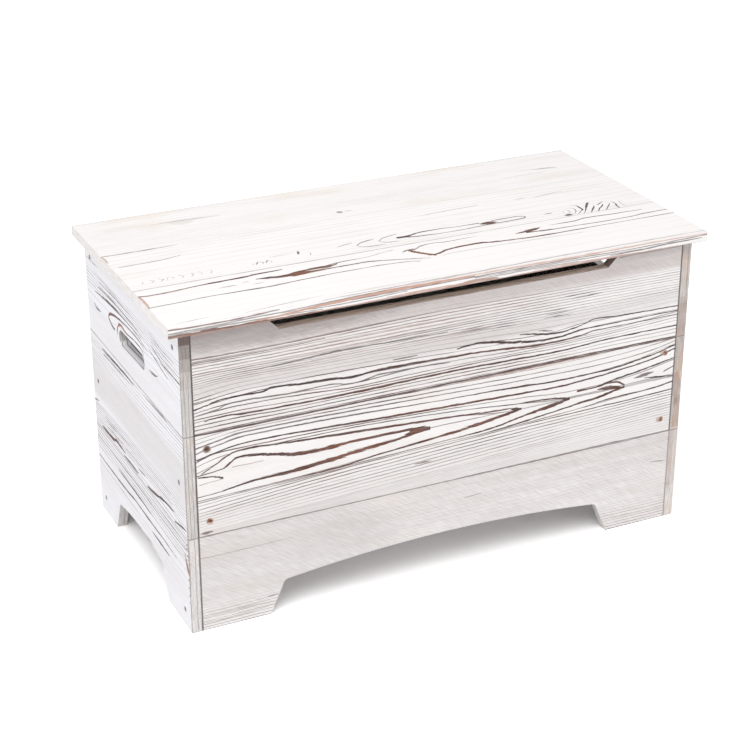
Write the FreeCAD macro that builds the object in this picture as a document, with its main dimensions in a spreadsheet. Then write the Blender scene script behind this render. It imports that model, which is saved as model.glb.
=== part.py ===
import FreeCAD, Part
import Sketcher
import math
import os
import re

# Wooden toy box with a hinged lid, made of boards screwed to corner posts.
# Millimetres. +X is right, the front faces -Y, +Z is up.
# The origin is on the floor, at the middle of the whole object's footprint.

Vector = FreeCAD.Vector
Rotation = FreeCAD.Rotation

# Driving dimensions
SIZES = {
    # Box body
    "body_width": 766,
    "body_depth": 392,
    "body_height": 440,
    "board_thickness": 15,
    "bottom_board_height": 144,
    "top_board_height": 146,
    "board_ease": 0.8,
    # Feet and arches of the bottom boards
    "front_foot_length": 116,
    "side_front_foot_length": 90,
    "side_back_foot_length": 73,
    "foot_slope": 21,
    "foot_height": 49,
    "front_arch_rise": 15,
    "side_arch_rise": 9,
    "arch_corner_radius": 8,
    # Finger gap and hand slots
    "finger_gap_width": 492,
    "finger_gap_depth": 18,
    "handle_length": 108,
    "handle_height": 23,
    "handle_drop": 101,
    # Lid
    "lid_thickness": 15,
    "lid_side_overhang": 17,
    "lid_front_overhang": 12,
    "lid_ease": 1.6,
    "lid_open_angle": 95,
    "batten_width": 45,
    "batten_thickness": 18,
    "batten_inset": 150,
    "batten_end_gap": 25,
    # Corner posts
    "post_width": 34,
    "post_depth": 18,
    "post_end_gap": 4,
    # Floor and what carries it
    "floor_height": 96,
    "floor_thickness": 12,
    "floor_gap": 1,
    "ledger_width": 18,
    "ledger_height": 20,
    "bearer_width": 34,
    # Screws into the boards
    "screw_radius": 2,
    "screw_head_radius": 4,
    "screw_rim": 0.4,
    "screw_sink": 0.3,
    "screw_tip": 4,
    "screw_cover": 5,
    "screw_fit": 0.05,
    "cut_overrun": 1,
    "small_screw_radius": 1.5,
    "small_screw_head_radius": 2.8,
    "hinge_screw_length": 10,
    "side_screw_drop": 27.5,
    "side_screw_rise": 25,
    "post_screw_edge": 22,
    "post_screw_step": 27.5,
    "ledger_screw_step": 160,
    "side_ledger_screw_step": 160,
    "floor_screw_step": 60,
    "batten_screw_edge": 22,
    # Hinges
    "hinge_length": 60,
    "hinge_inset": 120,
    "hinge_leaf_thickness": 1.5,
    "hinge_leaf_margin": 2,
    "hinge_leaf_sink": 0.1,
    "hinge_barrel_radius": 3,
    "hinge_barrel_gap": 0.3,
    "knuckle_count": 5,
    "hinge_knuckle_gap": 0.2,
    "hinge_pin_radius": 1.5,
    "hinge_pin_fit": 0.05,
    "hinge_pin_head": 1.2,
    "hinge_mortise_fit": 0.2,
    "hinge_screw_step": 20,
    # Lid stays: the rivet and the stud are both one stay_reach from the hinge axis
    "stay_reach": 120,
    "stay_drop": 14,
    "stay_stud_angle": 21,
    "stay_arm_width": 14,
    "stay_arm_thickness": 2,
    "stay_gap": 0.3,
    "stay_plate_thickness": 2,
    "stay_plate_width": 18,
    "stay_screw_step": 15,
    "stay_stud_radius": 3,
    "stay_head_radius": 6,
    "stay_head_thickness": 2.5,
    "stay_collar": 1.2,
    "stay_rivet_radius": 2.5,
    "stay_rivet_fit": 0.08,
    "stay_bracket_thickness": 2,
    "stay_bracket_width": 34,
    "stay_bracket_leg": 22,
    "stay_slot_spare": 0.3,
}

# Places worked out from the driving dimensions
PLACES = {
    "side_x": "body_width / 2",
    "inner_x": "side_x - board_thickness",
    "inner_width": "body_width - 2 * board_thickness",
    "hinge_reach": "hinge_barrel_gap + 2 * hinge_barrel_radius",
    "front_y": "lid_front_overhang - (lid_front_overhang + body_depth + hinge_reach) / 2",
    "back_y": "front_y + body_depth",
    "middle_y": "front_y + body_depth / 2",
    "inner_front": "front_y + board_thickness",
    "inner_back": "back_y - board_thickness",
    "inner_depth": "body_depth - 2 * board_thickness",
    "axis_y": "back_y + hinge_barrel_gap + hinge_barrel_radius",
    "low_seam": "bottom_board_height",
    "high_seam": "body_height - top_board_height",
    "middle_board_height": "high_seam - low_seam",
    "front_half_arch": "inner_width / 2 - front_foot_length + board_thickness - foot_slope",
    "side_arch_length": "body_depth - side_front_foot_length - side_back_foot_length - 2 * foot_slope",
    "side_arch_middle": "side_front_foot_length + foot_slope + side_arch_length / 2",
    "lid_depth": "lid_front_overhang + body_depth",
    "lid_width": "body_width + 2 * lid_side_overhang",
    "lid_front": "front_y - lid_front_overhang",
    "lid_board_depth": "lid_depth / 3",
    "batten_x": "side_x - batten_inset - batten_width / 2",
    "batten_front": "inner_front + batten_end_gap",
    "batten_length": "inner_depth - 2 * batten_end_gap",
    "post_x": "inner_x - post_width / 2",
    "post_front_y": "inner_front + post_depth / 2",
    "post_back_y": "inner_back - post_depth / 2",
    "ledger_base": "floor_height - ledger_height",
    "side_ledger_length": "inner_depth - 2 * post_depth",
    "floor_top": "floor_height + floor_thickness",
    "floor_length": "inner_width - 2 * floor_gap",
    "floor_depth": "inner_depth - 2 * floor_gap",
    "floor_board_depth": "floor_depth / 3",
    "floor_front": "inner_front + floor_gap",
    "notch_x": "post_width",
    "notch_y": "post_depth",
    "post_screw_length": "board_thickness + post_depth - screw_cover",
    "side_screw_length": "board_thickness + post_width - screw_cover",
    "ledger_screw_length": "board_thickness + ledger_width - screw_cover",
    "floor_screw_length": "floor_thickness + ledger_height - screw_cover",
    "batten_screw_length": "batten_thickness + lid_thickness - screw_cover",
    "hinge_x": "side_x - hinge_inset",
    "leaf_width": "board_thickness - hinge_leaf_margin",
    "leaf_screw_y": "back_y - leaf_width / 2",
    "knuckle": "hinge_length / knuckle_count",
    "mortise_depth": "hinge_leaf_sink + hinge_leaf_thickness",
    "rivet_angle": "asin(stay_drop / stay_reach)",
    "stud_angle": "stay_stud_angle * 1deg",
    "rivet_y": "axis_y - stay_reach * cos(rivet_angle)",
    "rivet_z": "body_height - stay_drop",
    "stud_y": "axis_y - stay_reach * cos(stud_angle)",
    "stud_z": "body_height - stay_reach * sin(stud_angle)",
    "arm_angle": "(rivet_angle + stud_angle) / 2",
    "closed_chord": "2 * stay_reach * sin((stud_angle - rivet_angle) / 2)",
    "open_chord": "2 * stay_reach * sin((stud_angle - rivet_angle + lid_open_angle * 1deg) / 2)",
    "slot_radius": "stay_stud_radius + stay_gap",
    "slot_start": "closed_chord - stay_slot_spare",
    "slot_length": "open_chord + stay_slot_spare - slot_start",
    "arm_length": "open_chord + stay_arm_width / 2",
    "arm_reach": "inner_x - stay_plate_thickness - stay_collar - stay_gap",
    "bracket_reach": "arm_reach - stay_arm_thickness - stay_gap",
    "bracket_screw_length": "stay_bracket_thickness + lid_thickness - screw_cover",
    "plate_screw_length": "stay_plate_thickness + board_thickness - screw_cover",
    "bracket_screw_x": "bracket_reach - stay_bracket_thickness / 2 - stay_bracket_leg / 2",
}

SIDES = {"left": -1, "right": 1}
ACROSS = ("front", "middle", "back")
NEAR = 1

doc = FreeCAD.newDocument("ToyBox")
sheet = doc.addObject("Spreadsheet::Sheet", "Sizes")
for row, (alias, number) in enumerate(SIZES.items(), 1):
    sheet.set(f"A{row}", alias)
    sheet.set(f"B{row}", str(number))
    sheet.setAlias(f"B{row}", alias)
probe = doc.addObject("App::VarSet", "Probe")
probe.addProperty("App::PropertyFloat", "result")
doc.recompute()

nodes = []


def expand(text):
    """Write a size or place name out as a formula on the sheet's cells."""
    def swap(match):
        word = match.group(0)
        if word in PLACES:
            return f"({expand(PLACES[word])})"
        return f"Sizes.{word}" if word in SIZES else word
    return re.sub(r"\b[a-z_]+\b", swap, text)


def value(text):
    """The number that a formula gives, for a sketch's first positions."""
    probe.setExpression("result", expand(text))
    probe.recompute()
    return float(probe.result)


def bind(item, **formulas):
    for name, text in formulas.items():
        item.setExpression(name, expand(text))
    return item


def put(item, x, y, z):
    """Tie an object's place to the sheet."""
    for axis, text in zip("xyz", (x, y, z)):
        item.setExpression(f"Placement.Base.{axis}", expand(text))
    return item


def add(kind, name, turn=None, at=None, **formulas):
    """A primitive whose sizes and place are formulas; turn is (axis, degrees)."""
    item = bind(doc.addObject(kind, name), **formulas)
    if turn:
        item.Placement = FreeCAD.Placement(Vector(), Rotation(Vector(*turn[0]), turn[1]))
    return put(item, *at) if at else item


def fuse(name, *items):
    joined = doc.addObject("Part::MultiFuse", name)
    joined.Shapes = list(items)
    return joined


def gather(name, items):
    group = doc.addObject("Part::Compound", name)
    group.Links = list(items)
    return group


def node(label, solid, *cutters):
    """Name a finished piece, with the cutters taken out of it."""
    if cutters:
        cut = doc.addObject("Part::Cut", f"{label}_cut")
        cut.Base = solid
        cut.Tool = cutters[0] if len(cutters) == 1 else gather(f"{label}_cutters", cutters)
        solid = cut
    solid.Label = label
    nodes.append(solid)
    return solid


def corner_x(side, reach, length):
    """Low X of a piece that runs inwards by length from its outer end at reach."""
    return f"-({reach})" if side < 0 else f"({reach}) - ({length})"


def on_side(side, distance):
    return f"{side} * ({distance})"


# Timber: a padded outline with its edges eased

def hold(sketch, geometry, point, x, y):
    """Fix one point of a sketch at a pair of formulas."""
    for kind, axis, text in (("DistanceX", -2, x), ("DistanceY", -1, y)):
        if text == "0":
            sketch.addConstraint(Sketcher.Constraint("PointOnObject", geometry, point, axis))
        else:
            index = sketch.addConstraint(Sketcher.Constraint(kind, -1, 1, geometry, point, value(text)))
            sketch.setExpression(f"Constraints[{index}]", expand(text))


def draw_loop(sketch, loop):
    """Draw a closed loop of corners; a corner with a centre starts a clockwise arc."""
    first = sketch.GeometryCount
    places = [Vector(value(corner[0]), value(corner[1]), 0) for corner in loop]
    for start, end, corner in zip(places, places[1:] + places[:1], loop):
        if len(corner) == 2:
            sketch.addGeometry(Part.LineSegment(start, end), False)
            continue
        centre = Vector(value(corner[2]), value(corner[3]), 0)
        circle = Part.Circle(centre, Vector(0, 0, 1), start.distanceToPoint(centre))
        angles = [math.atan2(p.y - centre.y, p.x - centre.x) for p in (end, start)]
        sketch.addGeometry(Part.ArcOfCircle(circle, *angles), False)
    for index, corner in enumerate(loop):
        geometry = first + index
        after = first + (index + 1) % len(loop)
        start_point, end_point = (1, 2) if len(corner) == 2 else (2, 1)
        after_point = 1 if len(loop[(index + 1) % len(loop)]) == 2 else 2
        sketch.addConstraint(Sketcher.Constraint("Coincident", geometry, end_point, after, after_point))
        hold(sketch, geometry, start_point, corner[0], corner[1])
        if len(corner) == 5:
            kind, text = ("DistanceX", corner[2]) if corner[4] == "x" else ("DistanceY", corner[3])
            number = value(text)
            ends = (-1, 1, geometry, 3) if number >= 0 else (geometry, 3, -1, 1)
            spot = sketch.addConstraint(Sketcher.Constraint(kind, *ends, abs(number)))
            sketch.setExpression(f"Constraints[{spot}]", expand(text if number >= 0 else f"-({text})"))


def timber(name, plane, loops, thickness, at, ease="board_ease", outer_edge=None, round_at=()):
    """A board: an outline on one of its body's own planes, padded and eased.

    outer_edge says which edges are eased, all of them if it is left out.
    round_at lists the outline's corners that get the arch's corner radius.
    """
    body = doc.addObject("PartDesign::Body", name)
    sketch = body.newObject("Sketcher::SketchObject", f"{name}_outline")
    sketch.AttachmentSupport = [([f for f in body.Origin.OriginFeatures if f.Role == plane][0], "")]
    sketch.MapMode = "FlatFace"
    for loop in loops:
        draw_loop(sketch, loop)
    pad = body.newObject("PartDesign::Pad", f"{name}_pad")
    pad.Profile = sketch
    pad.Reversed = plane == "XZ_Plane"
    bind(pad, Length=thickness)
    doc.recompute()
    last = pad
    if round_at:
        last = body.newObject("PartDesign::Fillet", f"{name}_corners")
        last.Base = (pad, [edge_at(pad, plane, value(x), value(y)) for x, y in round_at])
        bind(last, Radius="arch_corner_radius")
        doc.recompute()
    soft = body.newObject("PartDesign::Fillet", f"{name}_ease")
    if outer_edge:
        names = [f"Edge{i}" for i, edge in enumerate(last.Shape.Edges, 1) if outer_edge(edge.CenterOfMass)]
        soft.Base = (last, names)
    else:
        soft.Base = (last, [""])
        soft.UseAllEdges = True
    bind(soft, Radius=ease)
    return put(body, *at)


def edge_at(pad, plane, u, v):
    """The edge through the thickness that stands on an outline's corner."""
    near = {"XZ_Plane": lambda c: (c.x, c.z), "YZ_Plane": lambda c: (c.y, c.z)}[plane]
    gaps = {f"Edge{i}": math.dist(near(e.CenterOfMass), (u, v)) for i, e in enumerate(pad.Shape.Edges, 1)}
    return min(gaps, key=gaps.get)


def rectangle(width, height):
    return [("0", "0"), (width, "0"), (width, height), ("0", height)]


# Screws: one form of each length, copied to every place it is used

def screw_forms(name, length, radius="screw_radius", head="screw_head_radius"):
    """A countersunk screw that points down from the surface at zero, and the hole it needs."""
    rim_base = "-(screw_sink + screw_rim)"
    cone_base = f"{rim_base} - ({head} - {radius})"
    parts = []
    for kind, fit in (("screw", "0"), ("hole", "screw_fit")):
        tag = f"{name}_{kind}"
        top = "-screw_sink" if kind == "screw" else "screw_sink"
        base = f"-({length})" if kind == "hole" else f"screw_tip - ({length})"
        rim = add("Part::Cylinder", f"{tag}_rim", Radius=f"{head} + {fit}",
                  Height=f"{top} - ({rim_base})", at=("0", "0", rim_base))
        cone = add("Part::Cone", f"{tag}_cone", Radius1=f"{radius} + {fit}", Radius2=f"{head} + {fit}",
                   Height=f"{head} - {radius}", at=("0", "0", cone_base))
        shank = add("Part::Cylinder", f"{tag}_shank", Radius=f"{radius} + {fit}",
                    Height=f"({cone_base}) - ({base})", at=("0", "0", base))
        parts.append([rim, cone, shank])
    screw_parts, hole_parts = parts
    tip = add("Part::Cone", f"{name}_tip", Radius1=f"{radius} / 5", Radius2=radius,
              Height="screw_tip", at=("0", "0", f"-({length})"))
    slots = [add("Part::Box", f"{name}_drive_{axis}", Length=long, Width=wide,
                 Height=f"{radius} / 2 + screw_sink",
                 at=(f"-({long}) / 2", f"-({wide}) / 2", f"-screw_sink - {radius} / 2"))
             for axis, long, wide in (("x", f"2 * {radius} + screw_rim", f"{radius} / 2"),
                                      ("y", f"{radius} / 2", f"2 * {radius} + screw_rim"))]
    screw = doc.addObject("Part::Cut", f"{name}_form")
    screw.Base = fuse(f"{name}_solid", *screw_parts, tip)
    screw.Tool = fuse(f"{name}_drive", *slots)
    return screw, fuse(f"{name}_hole_form", *hole_parts)


FACING = {
    "front": ((1, 0, 0), 90),
    "back": ((1, 0, 0), -90),
    "left": ((0, 1, 0), -90),
    "right": ((0, 1, 0), 90),
    "up": ((1, 0, 0), 0),
    "down": ((1, 0, 0), 180),
}


def copies(name, form, places):
    """Copies of one form; each place is (facing, x, y, z)."""
    made = []
    for index, (facing, x, y, z) in enumerate(places):
        copy = doc.addObject("App::Link", f"{name}_{index + 1}")
        copy.LinkedObject = form
        copy.LinkTransform = False
        axis, degrees = FACING[facing]
        copy.Placement = FreeCAD.Placement(Vector(), Rotation(Vector(*axis), degrees))
        made.append(put(copy, x, y, z))
    return made


def screws(label, forms, places):
    """A node of identical screws; gives back the cutter for their holes."""
    node(label, gather(f"{label}_group", copies(f"{label}_copy", forms[0], places)))
    return gather(f"{label}_holes", copies(f"{label}_hole", forms[1], places))


post_forms = screw_forms("post_screw", "post_screw_length")
side_forms = screw_forms("side_screw", "side_screw_length")
ledger_forms = screw_forms("ledger_screw", "ledger_screw_length")
floor_forms = screw_forms("floor_screw", "floor_screw_length")
batten_forms = screw_forms("batten_screw", "batten_screw_length")
small = {"radius": "small_screw_radius", "head": "small_screw_head_radius"}
hinge_forms = screw_forms("hinge_screw", "hinge_screw_length", **small)
plate_forms = screw_forms("plate_screw", "plate_screw_length", **small)
bracket_forms = screw_forms("bracket_screw", "bracket_screw_length", **small)

both = list(SIDES.values())
middle_screw_heights = ("low_seam + post_screw_edge", "high_seam - post_screw_edge")
front_holes = screws("front_screws", post_forms, [
    ("front", on_side(s, "post_x"), "front_y", z) for s in both for z in middle_screw_heights])
back_holes = screws("back_screws", post_forms, [
    ("back", on_side(s, "post_x"), "back_y", z) for s in both for z in middle_screw_heights])
side_holes = {
    name: screws(f"{name}_side_screws", side_forms, [
        (name, on_side(s, "side_x"), y, z)
        for y in ("post_front_y", "post_back_y")
        for z in ("side_screw_rise", "(low_seam + high_seam) / 2", "body_height - side_screw_drop")])
    for name, s in SIDES.items()}
inner_screw_heights = (
    "ledger_base / 2",
    "(floor_top + low_seam) / 2",
    "high_seam + post_screw_edge",
    "body_height - side_screw_drop - post_screw_step",
)
post_holes = screws("post_screws", post_forms, [
    (facing, on_side(s, "post_x"), y, z)
    for facing, y in (("back", "inner_front + post_depth"), ("front", "inner_back - post_depth"))
    for s in both for z in inner_screw_heights])
ledger_z = "floor_height - ledger_height / 2"
ledger_places = [
    (facing, f"{step} * ledger_screw_step / 2", y, ledger_z)
    for facing, y in (("back", "inner_front + ledger_width"), ("front", "inner_back - ledger_width"))
    for step in (-3, -1, 1, 3)]
ledger_places += [
    (facing, on_side(s, "inner_x - ledger_width"),
     f"middle_y + {step} * side_ledger_screw_step / 2", ledger_z)
    for facing, s in (("right", -1), ("left", 1)) for step in (-1, 1)]
ledger_holes = screws("ledger_screws", ledger_forms, ledger_places)
floor_lines = ("-(inner_x - ledger_width / 2)", "0", "inner_x - ledger_width / 2")
floor_holes = screws("floor_screws", floor_forms, [
    ("up", x, f"middle_y + {row} * floor_board_depth + {step} * floor_screw_step / 2", "floor_top")
    for x in floor_lines for row in (-1, 0, 1) for step in (-1, 1)])
lid_seams = ("lid_front + lid_board_depth", "lid_front + 2 * lid_board_depth")
batten_rows = ["batten_front + batten_screw_edge", "batten_front + batten_length - batten_screw_edge"]
batten_rows += [f"{seam} {sign} batten_screw_edge" for seam in lid_seams for sign in "+-"]
batten_holes = screws("batten_screws", batten_forms, [
    ("down", on_side(s, "batten_x"), y, "body_height - batten_thickness")
    for s in both for y in batten_rows])


# Box body

front_arch_radius = ("(front_half_arch * front_half_arch + front_arch_rise * front_arch_rise)"
                     " / (2 * front_arch_rise)")
foot_on_board = "front_foot_length - board_thickness"
front_apron = [
    ("0", "0"),
    (foot_on_board, "0"),
    (f"{foot_on_board} + foot_slope", "foot_height", "inner_width / 2",
     f"foot_height + front_arch_rise - {front_arch_radius}", "y"),
    (f"inner_width - ({foot_on_board} + foot_slope)", "foot_height"),
    (f"inner_width - ({foot_on_board})", "0"),
    ("inner_width", "0"),
    ("inner_width", "bottom_board_height"),
    ("0", "bottom_board_height"),
]
side_arch_radius = ("(side_arch_length * side_arch_length / 4 + side_arch_rise * side_arch_rise)"
                    " / (2 * side_arch_rise)")
side_apron = [
    ("0", "0"),
    ("side_front_foot_length", "0"),
    ("side_front_foot_length + foot_slope", "foot_height", "side_arch_middle",
     f"foot_height + side_arch_rise - {side_arch_radius}", "y"),
    ("body_depth - side_back_foot_length - foot_slope", "foot_height"),
    ("body_depth - side_back_foot_length", "0"),
    ("body_depth", "0"),
    ("body_depth", "bottom_board_height"),
    ("0", "bottom_board_height"),
]
gap_middle = "inner_width / 2"
gap_floor = "top_board_height - finger_gap_depth"
finger_gap_board = [
    ("0", "0"),
    ("inner_width", "0"),
    ("inner_width", "top_board_height"),
    (f"{gap_middle} + finger_gap_width / 2 + finger_gap_depth", "top_board_height"),
    (f"{gap_middle} + finger_gap_width / 2", gap_floor),
    (f"{gap_middle} - finger_gap_width / 2", gap_floor),
    (f"{gap_middle} - finger_gap_width / 2 - finger_gap_depth", "top_board_height"),
    ("0", "top_board_height"),
]
slot_half = "(handle_length - handle_height) / 2"
slot_z = "top_board_height - handle_drop"
slot_back = f"body_depth / 2 + {slot_half}"
slot_front = f"body_depth / 2 - {slot_half}"
hand_slot = [
    (slot_front, f"{slot_z} - handle_height / 2", slot_front, slot_z, "x"),
    (slot_front, f"{slot_z} + handle_height / 2"),
    (slot_back, f"{slot_z} + handle_height / 2", slot_back, slot_z, "x"),
    (slot_back, f"{slot_z} - handle_height / 2"),
]


def end_panel(facing, y, top_outline, middle_holes, top_holes):
    """The three boards between the sides, at the front or at the back."""
    arch_corners = [front_apron[2][:2], front_apron[3][:2]]
    rows = (
        ("bottom", front_apron, "0", [post_holes, ledger_holes], arch_corners),
        ("middle", rectangle("inner_width", "middle_board_height"), "low_seam", middle_holes, ()),
        ("top", top_outline, "high_seam", top_holes, ()),
    )
    for row, outline, z, holes, corners in rows:
        label = f"{facing}_{row}_board"
        board = timber(f"{label}_blank", "XZ_Plane", [outline], "board_thickness",
                       ("-inner_x", y, z), round_at=corners)
        node(label, board, *holes)


def side_panel(name, side):
    """The three boards of a side, which run past the ends of the front and back boards."""
    arch_corners = [side_apron[2][:2], side_apron[3][:2]]
    rows = (
        ("bottom", [side_apron], "0", [side_holes[name], ledger_holes], arch_corners),
        ("middle", [rectangle("body_depth", "middle_board_height")], "low_seam", [side_holes[name]], ()),
        ("top", [rectangle("body_depth", "top_board_height"), hand_slot], "high_seam",
         [side_holes[name], plate_holes], ()),
    )
    for row, loops, z, holes, corners in rows:
        label = f"{name}_{row}_board"
        board = timber(f"{label}_blank", "YZ_Plane", loops, "board_thickness",
                       (corner_x(side, "side_x", "board_thickness"), "front_y", z), round_at=corners)
        node(label, board, *holes)


def hinge_mortises(part):
    """Shallow beds for the leaves, in the back board's top edge or under the lid."""
    low = "body_height - mortise_depth" if part == "box" else "body_height - cut_overrun"
    return [add("Part::Box", f"{part}_{name}_mortise", Length="hinge_length + 2 * hinge_mortise_fit",
                Width="leaf_width + hinge_mortise_fit + cut_overrun", Height="mortise_depth + cut_overrun",
                at=(f"{on_side(side, 'hinge_x')} - hinge_length / 2 - hinge_mortise_fit",
                    "back_y - leaf_width - hinge_mortise_fit", low))
            for name, side in SIDES.items()]


def posts():
    post_height = "body_height - 2 * post_end_gap"
    for end, y, outer_holes in (("front", "inner_front", front_holes),
                                ("back", "inner_back - post_depth", back_holes)):
        for name, side in SIDES.items():
            label = f"{end}_{name}_post"
            post = timber(f"{label}_blank", "XY_Plane", [rectangle("post_width", "post_depth")],
                          post_height, (corner_x(side, "inner_x", "post_width"), y, "post_end_gap"))
            node(label, post, side_holes[name], outer_holes, post_holes)


def floor_frame():
    """Ledgers on all four walls, and a bearer across the middle."""
    for end, y in (("front", "inner_front"), ("back", "inner_back - ledger_width")):
        strip = timber(f"{end}_ledger_blank", "XY_Plane",
                       [rectangle("inner_width - 2 * post_width", "ledger_width")], "ledger_height",
                       ("-inner_x + post_width", y, "ledger_base"))
        node(f"{end}_ledger", strip, ledger_holes)
    for name, side in SIDES.items():
        strip = timber(f"{name}_ledger_blank", "XY_Plane",
                       [rectangle("ledger_width", "side_ledger_length")], "ledger_height",
                       (corner_x(side, "inner_x", "ledger_width"), "inner_front + post_depth",
                        "ledger_base"))
        node(f"{name}_ledger", strip, ledger_holes, floor_holes)
    bearer = timber("floor_bearer_blank", "XY_Plane",
                    [rectangle("bearer_width", "inner_depth - 2 * ledger_width")], "ledger_height",
                    ("-bearer_width / 2", "inner_front + ledger_width", "ledger_base"))
    node("floor_bearer", bearer, floor_holes)


def floor_outline(row):
    """A floor board, notched round the posts at the front and at the back."""
    length, depth = "floor_length", "floor_board_depth"
    if row == "front":
        return [("notch_x", "0"), (f"{length} - notch_x", "0"), (f"{length} - notch_x", "notch_y"),
                (length, "notch_y"), (length, depth), ("0", depth), ("0", "notch_y"),
                ("notch_x", "notch_y")]
    if row == "back":
        return [("0", "0"), (length, "0"), (length, f"{depth} - notch_y"),
                (f"{length} - notch_x", f"{depth} - notch_y"), (f"{length} - notch_x", depth),
                ("notch_x", depth), ("notch_x", f"{depth} - notch_y"), ("0", f"{depth} - notch_y")]
    return rectangle(length, depth)


def floor_boards():
    for index, row in enumerate(ACROSS):
        board = timber(f"floor_{row}_board_blank", "XY_Plane", [floor_outline(row)], "floor_thickness",
                       ("-inner_x + floor_gap", f"floor_front + {index} * floor_board_depth",
                        "floor_height"))
        node(f"floor_{row}_board", board, floor_holes)


# Lid

def lid_boards():
    """Three glued boards, eased round the outside of the lid only."""
    width, depth = value("lid_width"), value("lid_board_depth")
    for index, row in enumerate(ACROSS):
        free_edges = {"front": (0,), "middle": (), "back": (depth,)}[row]

        def outside(centre, free_edges=free_edges):
            at_end = min(centre.x, width - centre.x) < NEAR and abs(centre.y - depth / 2) < NEAR
            return at_end or any(abs(centre.y - edge) < NEAR for edge in free_edges)

        board = timber(f"lid_{row}_board_blank", "XY_Plane", [rectangle("lid_width", "lid_board_depth")],
                       "lid_thickness",
                       ("-lid_width / 2", f"lid_front + {index} * lid_board_depth", "body_height"),
                       ease="lid_ease", outer_edge=outside)
        hinge_cuts = [hinge_lid_holes, *hinge_mortises("lid")] if row == "back" else []
        node(f"lid_{row}_board", board, batten_holes, bracket_holes, *hinge_cuts)


def lid_battens():
    for name, side in SIDES.items():
        batten = timber(f"lid_{name}_batten_blank", "XY_Plane",
                        [rectangle("batten_width", "batten_length")], "batten_thickness",
                        (corner_x(side, "side_x - batten_inset", "batten_width"), "batten_front",
                         "body_height - batten_thickness"))
        node(f"lid_{name}_batten", batten, batten_holes)


# Hinges

def barrel(name, start, length, radius):
    """A cylinder along the hinge axis."""
    return add("Part::Cylinder", name, turn=((0, 1, 0), 90), Radius=radius, Height=length,
               at=(start, "axis_y", "body_height"))


def hinge_leaf(name, side, part, knuckles, holes):
    """A leaf let into the wood, with every other knuckle of the barrel."""
    tag = f"{name}_hinge_{part}"
    start = f"{on_side(side, 'hinge_x')} - hinge_length / 2"
    low = "body_height - mortise_depth" if part == "box" else "body_height + hinge_leaf_sink"
    solids = [add("Part::Box", f"{tag}_plate", Length="hinge_length", Width="leaf_width",
                  Height="hinge_leaf_thickness", at=(start, "back_y - leaf_width", low))]
    for number in knuckles:
        place = f"{start} + {number} * knuckle + hinge_knuckle_gap / 2"
        length = "knuckle - hinge_knuckle_gap"
        solids.append(barrel(f"{tag}_knuckle_{number}", place, length, "hinge_barrel_radius"))
        solids.append(add("Part::Box", f"{tag}_neck_{number}", Length=length,
                          Width="axis_y - back_y + hinge_leaf_margin", Height="hinge_leaf_thickness",
                          at=(place, "back_y - hinge_leaf_margin", low)))
    bore = barrel(f"{tag}_bore", f"{start} - cut_overrun", "hinge_length + 2 * cut_overrun",
                  "hinge_pin_radius + hinge_pin_fit")
    node(f"{tag}_leaf", fuse(f"{tag}_solid", *solids), bore, holes)


def hinge_pin(name, side):
    start = f"{on_side(side, 'hinge_x')} - hinge_length / 2"
    shaft = barrel(f"{name}_pin_shaft", start, "hinge_length", "hinge_pin_radius")
    near = barrel(f"{name}_pin_near_head", f"{start} - hinge_pin_head", "hinge_pin_head",
                  "hinge_barrel_radius - hinge_knuckle_gap")
    far = barrel(f"{name}_pin_far_head", f"{start} + hinge_length", "hinge_pin_head",
                 "hinge_barrel_radius - hinge_knuckle_gap")
    node(f"{name}_hinge_pin", fuse(f"{name}_pin_solid", shaft, near, far))


# Lid stays

STUD = ("stud_y", "stud_z")
RIVET = ("rivet_y", "rivet_z")


def disc(name, side, place, reach, length, radius):
    """A cylinder across the box at a place in Y and Z, from reach inwards."""
    return add("Part::Cylinder", name, turn=((0, 1, 0), 90), Radius=radius, Height=length,
               at=(corner_x(side, reach, length), *place))


def slab(name, side, reach, thickness, width, height, y, z):
    """A flat bar across the box, from reach inwards, with its low corner at y and z."""
    return add("Part::Box", name, Length=thickness, Width=width, Height=height,
               at=(corner_x(side, reach, thickness), y, z))


def stay_plate(name, side):
    """The plate on the box side that carries the stud."""
    thickness, half = "stay_plate_thickness", "stay_plate_width / 2"
    middle = slab(f"{name}_plate_middle", side, "inner_x", thickness, "2 * stay_screw_step",
                  "stay_plate_width", "stud_y - stay_screw_step", f"stud_z - {half}")
    ends = [disc(f"{name}_plate_{end}_end", side, (f"stud_y {sign} stay_screw_step", "stud_z"),
                 "inner_x", thickness, half) for end, sign in (("front", "-"), ("back", "+"))]
    hole = disc(f"{name}_plate_hole", side, STUD, "inner_x", thickness, "stay_rivet_radius")
    node(f"{name}_stay_plate", fuse(f"{name}_plate_solid", middle, *ends), hole, plate_holes)


def stay_stud(name, side):
    """The headed stud that the slotted arm slides over."""
    collar_reach = "inner_x - stay_plate_thickness"
    neck_reach = f"{collar_reach} - stay_collar"
    neck_length = "stay_arm_thickness + 2 * stay_gap"
    head_reach = f"{neck_reach} - ({neck_length})"
    parts = (
        ("root", "inner_x", "stay_plate_thickness", "stay_rivet_radius"),
        ("collar", collar_reach, "stay_collar", "stay_head_radius"),
        ("neck", neck_reach, neck_length, "stay_stud_radius"),
        ("head", head_reach, "stay_head_thickness", "stay_head_radius"),
    )
    solids = [disc(f"{name}_stud_{part}", side, STUD, *sizes) for part, *sizes in parts]
    drive = slab(f"{name}_stud_drive", side, f"{head_reach} - stay_head_thickness / 2",
                 "stay_head_thickness / 2", "2 * stay_head_radius", "stay_collar",
                 "stud_y - stay_head_radius", "stud_z - stay_collar / 2")
    node(f"{name}_stay_stud", fuse(f"{name}_stud_solid", *solids), drive)


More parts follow.
